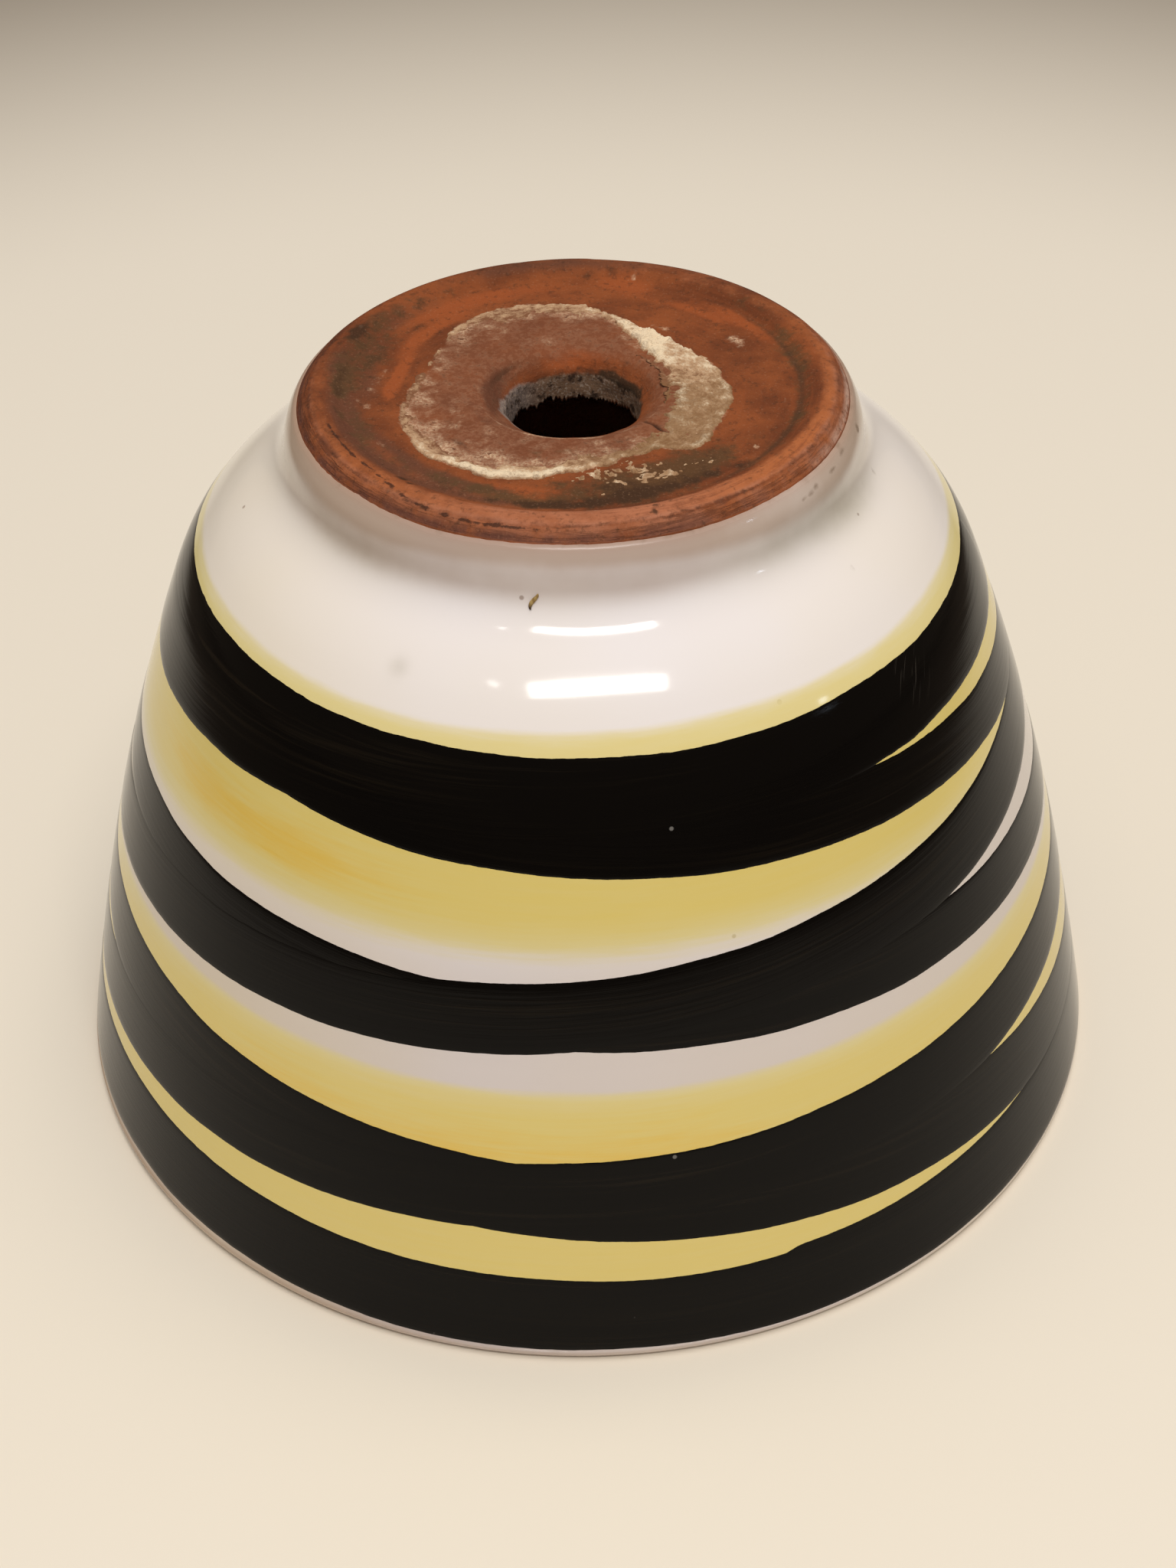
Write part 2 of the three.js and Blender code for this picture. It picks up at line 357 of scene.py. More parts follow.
def painted(place, label):
    # The number that a mesh holds for each of its points under a label
    return add(place.id_data, "ShaderNodeAttribute", attribute_name=label).outputs["Fac"]


def makeGroup(name, inputs, outputs):
    # Every group takes a vector, and the named numbers with their usual values
    group = bpy.data.node_groups.new(name, "ShaderNodeTree")
    group.interface.new_socket(name="Vector", in_out="INPUT", socket_type="NodeSocketVector")
    for label, value in inputs.items():
        socket = group.interface.new_socket(name=label, in_out="INPUT", socket_type="NodeSocketFloat")
        socket.default_value = value
    for label, kind in outputs.items():
        group.interface.new_socket(name=label, in_out="OUTPUT", socket_type="NodeSocket" + kind)
    return group, group.nodes.new("NodeGroupInput").outputs, group.nodes.new("NodeGroupOutput").inputs


def useGroup(group, **values):
    return feed("ShaderNodeGroup", values, node_tree=group).outputs


def makeTurnedGroup():
    # Object coordinates as seen on the wheel: the radius in millimetres, and a vector for rings
    # round the axis. That is the direction from the axis times Round, and the height plus a third
    # of the radius, in millimetres, times Across.
    group, start, end = makeGroup("turned", {"Round": 1.0, "Across": 1.0},
                                  {"Radius": "Float", "Rings": "Vector"})
    x, y, z = feed("ShaderNodeSeparateXYZ", {0: start["Vector"]}).outputs
    squares = plus(times(x, x), times(y, y))
    radius = calc("MAXIMUM", calc("SQRT", squares), 0.0001)
    share = calc("DIVIDE", start["Round"], radius)
    both = times(plus(calc("DIVIDE", radius, 3.0), z), 1 / mm)
    rings = feed("ShaderNodeCombineXYZ", {
        0: times(x, share), 1: times(y, share), 2: times(both, start["Across"])})
    group.links.new(times(radius, 1 / mm), end["Radius"])
    group.links.new(rings.outputs[0], end["Rings"])
    return group


def makeSpecksGroup():
    # Scattered round specks: Voronoi cells whose random number passes a share, near their centres
    group, start, end = makeGroup("specks", {"Scale": 200.0, "Size": 0.2, "Share": 0.9},
                                  {"Mask": "Float"})
    cells = feed("ShaderNodeTexVoronoi", {"Vector": start["Vector"], "Scale": start["Scale"]})
    chance = feed("ShaderNodeSeparateColor", {0: cells.outputs["Color"]}).outputs[0]
    chosen = calc("GREATER_THAN", chance, start["Share"])
    size = times(start["Size"], chance)
    near = fit(calc("DIVIDE", cells.outputs["Distance"], size), 1.0, 0.6)
    group.links.new(times(near, chosen), end["Mask"])
    return group


def makePatchesGroup():
    # A ragged mask: a smooth value broken up by grain, only where it isn't nil, then cut between
    # two levels
    group, start, end = makeGroup(
        "patches", {"Value": 0.5, "Scale": 300.0, "Break": 0.5, "Low": 0.4, "High": 0.6},
        {"Mask": "Float"})
    there = fit(start["Value"], 0.02, 0.2)
    noise = grain(start["Vector"], start["Scale"], 6.0, 0.62)
    total = unsettle(start["Value"], noise, times(start["Break"], there))
    group.links.new(fit(total, start["Low"], start["High"]), end["Mask"])
    return group


turnedGroup, specksGroup, patchesGroup = makeTurnedGroup(), makeSpecksGroup(), makePatchesGroup()


def ragged(place, label, scale, broken, low, high):
    # Where a painted mark shows, with a ragged edge
    return useGroup(patchesGroup, Vector=place, Value=painted(place, label), Scale=scale,
                    Break=broken, Low=low, High=high)["Mask"]


def specks(place, scale, size, share):
    return useGroup(specksGroup, Vector=place, Scale=scale, Size=size, Share=share)["Mask"]


def turnedGrain(place, around, across, detail, rough):
    # Grain drawn out round the axis, as tools and brushes leave it on the wheel
    rings = useGroup(turnedGroup, Vector=place, Round=around, Across=across)["Rings"]
    return grain(rings, 1.0, detail, rough)


def startMaterial(name, **values):
    material = bpy.data.materials.new(name)
    material.use_nodes = True
    tree = material.node_tree
    shader = tree.nodes["Principled BSDF"]
    for key, value in values.items():
        shader.inputs[key].default_value = value
    return material, shader, add(tree, "ShaderNodeTexCoord").outputs["Object"]


def joinUp(shader, colourOut, roughOut=None, bumps=()):
    # bumps: (height, distance in metres, strength), each on top of the one before
    link = shader.id_data.links.new
    link(colourOut, shader.inputs["Base Color"])
    if roughOut is not None:
        link(roughOut, shader.inputs["Roughness"])
    normal = shader.inputs["Normal"]
    for height, distance, strength in reversed(bumps):
        bump = feed("ShaderNodeBump", {"Height": height, "Distance": distance, "Strength": strength})
        link(bump.outputs[0], normal)
        normal = bump.inputs["Normal"]


def softWaves(place):
    # The bump that every glaze has
    return grain(place, 90.0, 2.0), 0.0004, 0.05


# White glaze

whiteLook = {
    "white": tint(236, 229, 228),
    "warm": tint(236, 226, 214),
    "shade": tint(200, 183, 169),     # painted shade; this, the thin and the smoke multiply the white
    "thin": tint(226, 204, 194),
    "smoke": tint(196, 194, 182),
    # dirt, also laid low on the lip as painted shade
    "dirtAndShade": tint(126, 104, 84),
    "fleck": tint(120, 84, 52),
    "roughness": (0.09, 0.5),         # clean and worn
    "ior": 1.52,
}


def whiteColour(place):
    # The glaze's white: cool to warm in slow patches, with a few pinholes and brown flecks, a painted
    # reflection to the sides and painted shade on the lower wall
    x, _, z = feed("ShaderNodeSeparateXYZ", {0: place}).outputs
    # painted reflection of the warm floor, towards both sides
    aside = plus(fit(x, 0.015, 0.06, 0.0, 0.6),       # warmer to both sides,
                 fit(x, -0.015, -0.055, 0.0, 1.3))    # most to the left
    warm = plus(fit(grain(place, 22.0, 2.0), 0.35, 0.7, 0.0, 0.5), aside)
    body = mixColour(warm, whiteLook["white"], whiteLook["warm"])
    lowerWallShade = fit(z, 0.07, 0.056, 0.0, 0.34)      # and a little darker on the lower wall, as painted shade
    body = mixColour(lowerWallShade, body, whiteLook["shade"], "MULTIPLY")
    return lay(body, whiteLook["fleck"], specks(place, 150.0, 0.075, 0.86), 0.55)


def makeWhite():
    material, shader, place = startMaterial("whiteGlaze", IOR=whiteLook["ior"])
    clouds = grain(place, 60.0, 4.0, 0.6)
    thin = painted(place, "thin")

    def clouded(label, uneven):
        # A painted mark made patchy by the clouds
        mark = painted(place, label)
        return fit(unsettle(mark, clouds, times(mark, uneven)), 0.0, 1.0)

    body = whiteColour(place)
    body = mixColour(clouded("shade", 0.7), body, whiteLook["shade"], "MULTIPLY")
    body = lay(body, whiteLook["thin"], thin, 0.7, "MULTIPLY")
    body = mixColour(clouded("smoke", 1.2), body, whiteLook["smoke"], "MULTIPLY")
    # dirt along the glaze line and in specks, and painted shade on the lip
    grimeAndShade = ragged(place, "grimeAndShade", 420.0, 1.5, 0.35, 1.1)
    body = lay(body, whiteLook["dirtAndShade"], grimeAndShade, 0.7)
    worn = calc("MAXIMUM", grimeAndShade, times(thin, 0.8))
    rough = fit(worn, 0.0, 1.0, *whiteLook["roughness"])
    joinUp(shader, body, rough, [softWaves(place)])
    return material


glazeShape = {
    "turns": 480,
    "rowStep": 2.2,
    "closeFrom": 96, "closeStep": 0.55,     # above this height the rows lie closer together
    "slideFrom": 106,                       # and above this one they follow the glaze line
    "lineWaves": [(0.14, 11, 2, 14), (0.02, 12, 20, 60), (0.03, 16, 60, 200)],
    # the glaze swells under its line: how far, how far down, half width. It thins out at the line:
    # how far and over what distance the surface sinks, share of the coat left, where it is full.
    "bead": (0.07, 0.7, 0.5),
    "feather": (0.28, 0.45, 0.08, 1.1),
    "collar": 24.0,
    "collarWaves": [(1.2, 13, 2, 9)],
    "collarRows": 14,
    "neckShade": 0.58,                      # how dark the painted shade on the neck is, with some dust
    "lighterSide": (0.14, 0.075),                 # turn and half width of a side with lighter and a side with darker painted shade
    "darkerSide": (-0.14, 0.07),
    "markRadius": 42,
}

# Marks on the neck: turn, height, half length round the pot, half height, strength
glazeMarks = {
    "grimeAndShade": [
        (0.216, 110.4, 0.65, 0.55, 2.0), (0.149, 110.65, 0.9, 0.35, 1.2),
        (0.143, 110.5, 0.8, 0.35, 1.0), (0.136, 110.4, 0.8, 0.3, 0.9), (0.168, 110.75, 1.2, 0.35, 1.2),
        (0.184, 111.1, 1.4, 0.3, 1.1), (0.118, 108.4, 4.0, 0.3, 0.35), (0.2, 104.6, 3.0, 0.5, 0.4),
        (0.2168, 103.4, 0.7, 0.7, 0.8), (-0.038, 105.9, 0.5, 0.4, 0.5), (0.1476, 100.2, 0.6, 0.6, 0.55),
    ],
    "smoke": [
        (0.14, 106.5, 17.0, 3.4, 0.55), (0.19, 104.0, 8.0, 2.2, 0.4), (-0.13, 106.0, 14.0, 3.0, 0.35),
        (-0.0784, 97.2, 1.596, 1.3, 0.35),
    ],
}


def makeGlaze(material):
    # Closed section: outside from lip to glaze line, back down inside the coat, round the lip and
    # up a collar inside the pot, whose rows slide so that both ends follow a wavy line
    shape = glazeShape
    turn = wholeTurn(shape["turns"])
    rim, top = knots[0][1], knots[-1][1]
    line = top + ripples(turn, shape["lineWaves"])
    close = outside[:, 1] >= shape["closeFrom"]
    heights = np.concatenate([evenly(outside[~close], shape["rowStep"])[:, 1],
                              evenly(outside[close], shape["closeStep"])[1:, 1]])[None, :]
    slid = heights + ease((heights - shape["slideFrom"]) / (top - shape["slideFrom"])) * (line - top)
    toLine = line - slid
    swell, down, wide = shape["bead"]
    sunk, over, left, full = shape["feather"]
    coat = form["glaze"] * (left + (1 - left) * ease(toLine / full))
    bead = swell * bell(toLine - down, wide) - sunk * ease(1 - toLine / over)
    outer = onWall(turn, slid, bead)
    inner = onWall(turn, slid, bead - coat)[:, ::-3]
    collarTop = shape["collar"] + ripples(turn, shape["collarWaves"])
    share = np.linspace(0.05, 1, shape["collarRows"])[None, :]
    collar = rim + (collarTop - rim) * share
    fade = form["glaze"] * (1 - 0.9 * ease((share - 0.93) / 0.07))
    claySide = onWall(turn, collar, form["glaze"] - form["coatedWall"])
    potSide = onWall(turn, collar, form["glaze"] - form["coatedWall"] - fade)[:, ::-1]
    still = lambda line: np.broadcast_to(line[None], (shape["turns"],) + line.shape)
    lip = lipLine(0)[::-1]
    section = np.concatenate([outer, inner, still(lipLine(form["glaze"])), claySide, potSide,
                              still(lip)], 1)

    lighterSide, darkerSide = [bell(wayRound(turn, side), wide) for side, wide in (shape["lighterSide"], shape["darkerSide"])]
    # painted shade on the lip, darker to the left
    lipShade = 0.5 - 0.35 * np.sin(2 * np.pi * turn)
    neckShade = shape["neckShade"] - 0.4 * lighterSide + 0.1 * darkerSide + 0.05 * ripple(turn, 15, 1, 5)
    thin = ease(1 - toLine / 1.6)
    grimeAndShade, smoke = [patches(turn, slid, marks, shape["markRadius"]) for marks in glazeMarks.values()]
    # grimeAndShade is dirt along the glaze line and in specks, with painted shade on the lip; shade is
    # painted shade on the neck, the foot wall and the lip
    marks = {
        "grimeAndShade": thin * (0.45 + 0.3 * ripple(turn, 14, 1, 6)) + grimeAndShade + 0.25 * ease((4.5 - slid) / 2.5),
        "shade": (neckShade * ease((slid - 102.5) / 4.5) + lipShade * ease((3.0 - slid) / 1.2)
                  + 0.5 * ease((slid - 109 + 2 * lighterSide + darkerSide) / 2.5)),
        "thin": thin,
        "smoke": smoke,
    }
    values = {kind: np.zeros(section.shape[:2]) for kind in marks}
    for kind, mark in marks.items():
        values[kind][:, :heights.size] = mark
    values["shade"][:, -len(lip):] = lipShade
    return addPiece("glazeCoat", circle(turn, section), material, "white_glaze", values)


makeGlaze(makeWhite())


# Yellow washes

yellowLook = {
    "pale": tint(228, 212, 152),
    "full": tint(228, 205, 118),
    "deep": tint(231, 191, 81),
    "roughness": 0.09,
}

washShape = {
    "turns": 360,
    "rowStep": 0.9,
    "lift": (-0.03, 0.025),     # at an edge and in the middle, over the glaze
    "edgeSlope": 4.5,
    "quick": 0.56,              # share of the paint that its upper edge gains at once
}

# fadeLow and fadeHigh are heights between which the paint comes on, from the edge inwards. deepAt
# is turn, height, half width in turns and half height of a deeper patch.
washes = {
    "upperWash": {
        "node": "upper_yellow_wash", "low": 57.0, "high": 96.5, "fadeLow": (61.2, 70.5),
        "fadeHigh": (93.5, 92.4, 84.0), "wander": 0.3, "seed": 21,
        "deepAt": (-0.12, 71.6, 0.075, 4.3), "deepness": 0.74,
    },
    "lowerWash": {
        "node": "lower_yellow_wash", "low": 4.5, "high": 51.0, "fadeLow": (5.0, 8.0),
        "fadeHigh": (45.9, 43.7, 40.0), "wander": 0.3, "seed": 22,
        "deepAt": (-0.04, 33.5, 0.18, 7.0), "deepness": 0.72,
    },
}


def makeYellow():
    # The paint attribute runs from none at a soft edge to full; deep marks where it pooled
    material, shader, place = startMaterial(
        "yellowGlaze", Roughness=yellowLook["roughness"], IOR=whiteLook["ior"])
    hairs = turnedGrain(place, 5.0, 1.4, 4.0, 0.6)
    drawn = mixNumber(0.45, grain(place, 34.0, 4.0, 0.6), hairs)
    paint = unsettle(painted(place, "paint"), hairs, 0.34)
    pool = unsettle(painted(place, "deep"), drawn, 1.5)
    yellow = mixColour(fit(paint, 0.45, 1.15), yellowLook["pale"], yellowLook["full"])
    yellow = mixColour(fit(pool, 0.25, 1.1), yellow, yellowLook["deep"])
    body = mixColour(fit(paint, 0.05, 0.62), whiteColour(place), yellow)
    joinUp(shader, body, None, [softWaves(place)])
    return material


def makeWash(name, wash, material):
    # A thin closed skin between two heights. Both edges dive slowly under the white, where the paint
    # is nil. The paint's upper edge comes on quickly to about a half and slowly to the full.
    shape = washShape
    turn = wholeTurn(shape["turns"])
    low, high = wash["low"], wash["high"]
    share = np.linspace(0, 1, int((high - low) / shape["rowStep"]))[None, :]
    sway = wash["wander"] * ripple(turn, wash["seed"], 1, 7)
    height = low + (high - low) * share + sway
    edge = np.minimum(height - sway - low, high - height + sway)
    sunk, raised = shape["lift"]
    top = onWall(turn, height, sunk + (raised - sunk) * ease(edge / shape["edgeSlope"]))
    under = onWall(turn, height, -0.2)[:, ::-4]
    (low0, low1), (high0, high1, high2) = wash["fadeLow"], wash["fadeHigh"]
    down = high0 - height + sway
    quick, slow = ease(down / (high0 - high1)), ease(down / (high0 - high2))
    paint = ease((height - sway - low0) / (low1 - low0)) * (slow + shape["quick"] * (quick - slow))
    at, middle, wide, tall = wash["deepAt"]
    deep = wash["deepness"] * bell(wayRound(turn, at), wide) * bell(height - middle, tall)
    grid, values = closeUnder(turn, top, under, {"paint": paint, "deep": deep})
    return addPiece(name, grid, material, wash["node"], values)


yellow = makeYellow()
for name, wash in washes.items():
    makeWash(name, wash, yellow)


# Black brush strokes

blackLook = {
    "black": tint(9, 7, 6),
    "brown": tint(40, 32, 22),
    "dust": tint(150, 146, 140),
    "scratch": tint(120, 112, 100),
    "roughness": (0.07, 0.12),      # between the hair marks and on them
    "ior": 1.22,
}

strokeShape = {
    "perTurn": 640, "across": 20,
    "stepsPerTurn": 500,            # steps in which the ends and the finest fray are counted
    "edgeWander": 0.12, "edgeFray": 0.03,
    "edgeRound": 0.4,               # how far from the edge most of the lift is reached
    "taper": 0.12, "taperOver": 0.012,      # share of the width lost at the start, over so many turns
    "overStart": 0.025,             # where a band meets its own start, the end lies on top
    "under": -0.12,
    "radius": (72, 58),             # typical of the wall, and of where the scratches are
}

bandMiddles = (8.7, 85.65)      # middles of the rim band and the foot band, for the shares below

# startTurn is where the first row lies, rowTurn the way from row to row, and brown how far the hair
# marks show. A band that lies over another has the greater lift.
strokes = {
    "footBand": {  # rows: low edge, high edge
        "startTurn": -0.5, "rowTurn": 0.125, "lift": 0.055, "seed": 31, "brown": 0.75,
        "rows": [(80.4, 91.2), (80.4, 91.3), (80.4, 91.5), (80.4, 91.2), (80.4, 90.6), (80.4, 90.6),
                 (80.4, 91.1), (80.4, 91.2), (80.4, 91.2), (80.4, 91.3)],
    },
    "fallingSpiral": {  # rows: middle as a share between the bands, width
        "startTurn": -0.5, "rowTurn": 0.25, "lift": 0.07, "seed": 32, "brown": 0.45, "spiral": True,
        "rows": [(1, 8.8), (0.989, 8.8), (0.92, 8.8), (0.823, 7.9), (0.735, 7.9), (0.668, 8),
                 (0.602, 8), (0.525, 8.8), (0.445, 9.9), (0.359, 11), (0.238, 12), (0.104, 11.4),
                 (0, 11.4)],
    },
    "risingSpiral": {
        "startTurn": -0.75, "rowTurn": 0.25, "lift": 0.085, "seed": 33, "brown": 0.45, "spiral": True,
        "rows": [(0.02, 10.4), (0.095, 10.4), (0.185, 10.6), (0.261, 11), (0.34, 10.6),
                 (0.43, 10.4), (0.529, 10.4), (0.619, 10.5), (0.742, 10.8), (0.854, 10.7),
                 (0.936, 10.6), (0.988, 10.6), (1, 10.6)],
        "scratched": [(0.143, 87.4, 2.8, 2.2, 1.0)],
    },
    "rimBand": {
        "startTurn": 0.05, "rowTurn": 0.125, "lift": 0.1, "seed": 34, "brown": 0.3,
        "rows": [(1.9, 14.7), (1.7, 15.1), (2.6, 15.2), (2.8, 15.3), (2.7, 15.6), (2.8, 16.3),
                 (3.0, 16.5), (2.5, 15.4), (1.9, 14.0), (1.9, 14.1)],
    },
}


def makeBlack():
    # uv runs along and across each stroke in millimetres, so the hair marks follow the brush
    material, shader, place = startMaterial("blackGlaze", IOR=blackLook["ior"])
    uv = add(place.id_data, "ShaderNodeUVMap", uv_map="alongAcross").outputs[0]
    hairs = drawnGrain(uv, (0.022, 2.1, 1.0), 5.0, 0.6)
    broad = drawnGrain(uv, (0.012, 0.28, 1.0), 2.0)
    thin = times(fit(hairs, 0.45, 0.75), fit(broad, 0.42, 0.68))
    body = mixColour(times(thin, painted(place, "thin")), blackLook["black"], blackLook["brown"])
    body = lay(body, blackLook["dust"], specks(place, 170.0, 0.07, 0.93), 0.5)
    values = {"Vector": uv, "Rotation": (0, 0, 0.62), "Scale": (8.0, 0.26, 1.0)}
    slanting = feed("ShaderNodeMapping", values, vector_type="TEXTURE").outputs[0]
    scratches = fit(grain(slanting, 1.0, 2.0), 0.6, 0.68)
    body = lay(body, blackLook["scratch"], times(scratches, painted(place, "scratched")), 0.45)
    rough = fit(hairs, 0.3, 0.75, *blackLook["roughness"])
    joinUp(shader, body, rough, [(hairs, 0.00006, 0.35), softWaves(place)])
    return material


def makeStroke(name, stroke, material):
    # A ribbon of glaze along the wall: low and high edges are smooth rows with a fine fray, and the
    # lift over the white rises from each edge as 1 - e^(-distance / edgeRound). It closes underneath.
    shape = strokeShape
    last = len(stroke["rows"]) - 1
    length = last * stroke["rowTurn"]
    at = np.linspace(0, last, int(length * shape["perTurn"]) + 1)
    low, high = smoothRows(stroke["rows"], at).T
    if stroke.get("spiral"):
        bottom, top = bandMiddles
        middle, width = bottom + (top - bottom) * low, high
        low, high = middle - width / 2, middle + width / 2
    gone = at * stroke["rowTurn"]
    turn = (stroke["startTurn"] + gone)[:, None]
    whole = at / last       # the frays needn't close, so each runs once along the stroke
    steps = whole * length * shape["stepsPerTurn"]
    waves = int(round(length * shape["stepsPerTurn"]))
    few, many = int(6 * length) + 1, int(40 * length)
    fray = lambda seed: (shape["edgeWander"] * ripple(whole, seed, few, many)
                         + shape["edgeFray"] * ripple(whole, seed + 50, waves // 6, waves // 2))
    low, high = (low + fray(stroke["seed"]))[:, None], (high + fray(stroke["seed"] + 10))[:, None]
    taper = shape["taper"] * (1 - ease(gone / shape["taperOver"]))[:, None] * (high - low)
    low, high = low + taper, high - taper
    share = ((1 - np.cos(np.linspace(0, np.pi, shape["across"]))) / 2)[None, :]
    height = low + (high - low) * share
    edge = np.minimum(share, 1 - share) * (high - low)
    ends = ease(np.minimum(steps, steps[-1] - steps) / 3)[:, None]
    over = shape["overStart"] * ease(whole * 8)[:, None]
    lift = (stroke["lift"] + over) * (1 - np.exp(-edge / shape["edgeRound"]))
    top = onWall(turn, height, lift * ends - 0.01)
    under = onWall(turn, height, shape["under"])[:, ::-5]
    wallRadius, markRadius = shape["radius"]
    scratched = patches(turn, height, stroke.get("scratched", ()), markRadius)
    grid, values = closeUnder(turn, top, under, {"thin": stroke["brown"], "scratched": scratched})
    for end in (0, -1):     # close both ends by drawing them to a point under the surface
        grid[end] = grid[end].mean(0)
    acrossMm = float((high - low).mean()) * grid.shape[1] / shape["across"]
    return addPiece(name, grid, material, "black_brushwork", values, around=False,
                    uvSize=(length * 2 * np.pi * wallRadius, acrossMm))


black = makeBlack()
for name, stroke in strokes.items():
    makeStroke(name, stroke, black)


# Clay body

clayLook = {
    "body": tint(138, 74, 38),
    "dark": tint(102, 54, 30),
    "bright": tint(170, 98, 56),
    "rosy": tint(174, 109, 77),
    "rust": tint(148, 76, 38),
    "mauve": tint(116, 70, 47),
    "pink": tint(144, 97, 71),
    "damp": tint(96, 60, 43),
    "soot": tint(90, 54, 38),
    "stain": tint(62, 41, 27),
    "olive": tint(86, 62, 38),
    # corner is painted shade where the ring's inner slope meets the base
    "corner": tint(74, 50, 33),
    "seam": tint(60, 36, 26),
    "scuff": tint(118, 66, 42),
    "outerRing": tint(168, 114, 90),
    "streak": tint(82, 47, 33),
    "crestLine": tint(84, 48, 32),
    "vergeDark": tint(92, 56, 46),
    "vergeHighlight": tint(206, 172, 152),
    "film": tint(180, 136, 106),
    "pale": tint(220, 190, 156),
    "lining": (tint(128, 100, 78), tint(128, 114, 106)),    # on the right and on the left
    "liningPale": tint(160, 142, 126),
    "liningDark": tint(56, 43, 34),
    "lip": tint(56, 42, 29),
    "crack": tint(48, 29, 20),
    # hole is painted shade deep down the drain hole
    "hole": tint(22, 13, 9),
    "inside": (tint(160, 92, 62), tint(180, 142, 112)),
    "roughness": (0.75, 0.92),
}

# Noise in the clay: scale per metre, detail, roughness
clayGrains = {"slow": (60.0, 4.0, 0.6), "blotches": (230.0, 6.0, 0.66), "fine": (1100.0, 4.0, 0.65),
              "grit": (2600.0, 3.0, 0.6)}

# How each mark covers the clay: scale of its ragged edge, how ragged it is, the two levels between
# which it comes on, and the most that it covers
clayCovers = {
    "damp": (130.0, 1.5, 0.15, 1.05, 0.8),
    "rust": (170.0, 1.2, 0.2, 0.9, 0.9),
    "haze": (190.0, 1.6, 0.1, 1.2, 0.85),
    "soot": (260.0, 1.6, 0.15, 1.1, 0.75),
    "worn": (300.0, 1.5, 0.0, 1.05, 0.95),
    "olive": (420.0, 2.3, 0.2, 0.95, 0.85),
    "film": (360.0, 2.5, 0.2, 1.2, 0.75),
    "spots": (520.0, 1.8, 0.3, 0.9, 0.8),
    "corner": (160.0, 0.9, 0.15, 0.95, 0.85),
    "stain": (420.0, 2.0, 0.25, 1.0, 0.85),
    "seam": (620.0, 2.4, 0.5, 0.9, 0.85),
    "lining": (450.0, 1.5, 0.25, 0.85, 0.95),
    "lip": (480.0, 1.8, 0.25, 0.8, 0.9),
}

clayShape = {
    "turns": 520,
    # the bare foot from the glaze line over the worn ring, across the base and down the hole
    "foot": [(38.98, 112.42), (38.72, 112.85), (38.4, 113.3), (38.0, 113.72), (37.5, 114.05),
             (36.9, 114.24), (36.2, 114.32), (35.2, 114.31), (34.4, 114.17), (33.6, 113.85),
             (32.9, 113.45), (32.1, 113.22), (30.5, 113.15), (27, 113.13), (23, 113.1), (19, 113.12),
             (15.5, 113.12), (13.6, 113.0), (12.4, 112.55), (11.4, 111.8), (10.5, 111.0),
             (9.85, 110.3), (9.55, 109.5), (9.5, 108.6), (9.5, 107.5), (9.5, 106.5), (9.6, 105.7),
             (10.1, 105.4), (11.0, 105.9), (12.0, 106.3), (13, 106.4)],
    "footStep": 0.43,
    # radius of a seam of dark pits along the ring, for each fiftieth of a turn up to the near side
    "seam": [35.7, 35.6, 35.5, 35.45, 35.6, 36.3, 37.4, 37.8, 37.9, 37.9],
    "mouthShift": 0.7,          # how far the drain's funnel leans to the near side
    # ragged clay that the cut hole pushed through inside, as ripples takes it
    "burr": [(0.45, 50, 8, 60), (0.315, 57, 60, 160)],
    # unevenness, as mottles takes it: across is the radius on the base, the height inside, and
    # counted in rows elsewhere. Pocks are where theirs passes 1.
    "onBase": [(0.06, 23, 3.2, 41), (0.04, 90, 0.9, 42)],
    "onRing": [(0.04, 40, 3.5, 43)],
    "pocks": [(3, 60, 2.5, 44)],
    "onMouth": [(0.2, 13, 7, 45), (0.08, 40, 3, 46)],
    "onInside": [(0.1, 12, 9, 47)],
    "throwing": (0.22, 7.5),    # rings inside: how far they stand out, and from one to the next
    # the floor and its corner inside, up to the wall
    "inside": [(13, 106.4), (18, 106.35), (24, 106.0), (30, 104.6), (35.5, 101.9), (40.3, 98.3)],
    "insideStep": 1.8,
    "wall": 5.17,
    "wallRows": (97.4, 3.0, -3.5),      # heights from, to and between rows inside
}

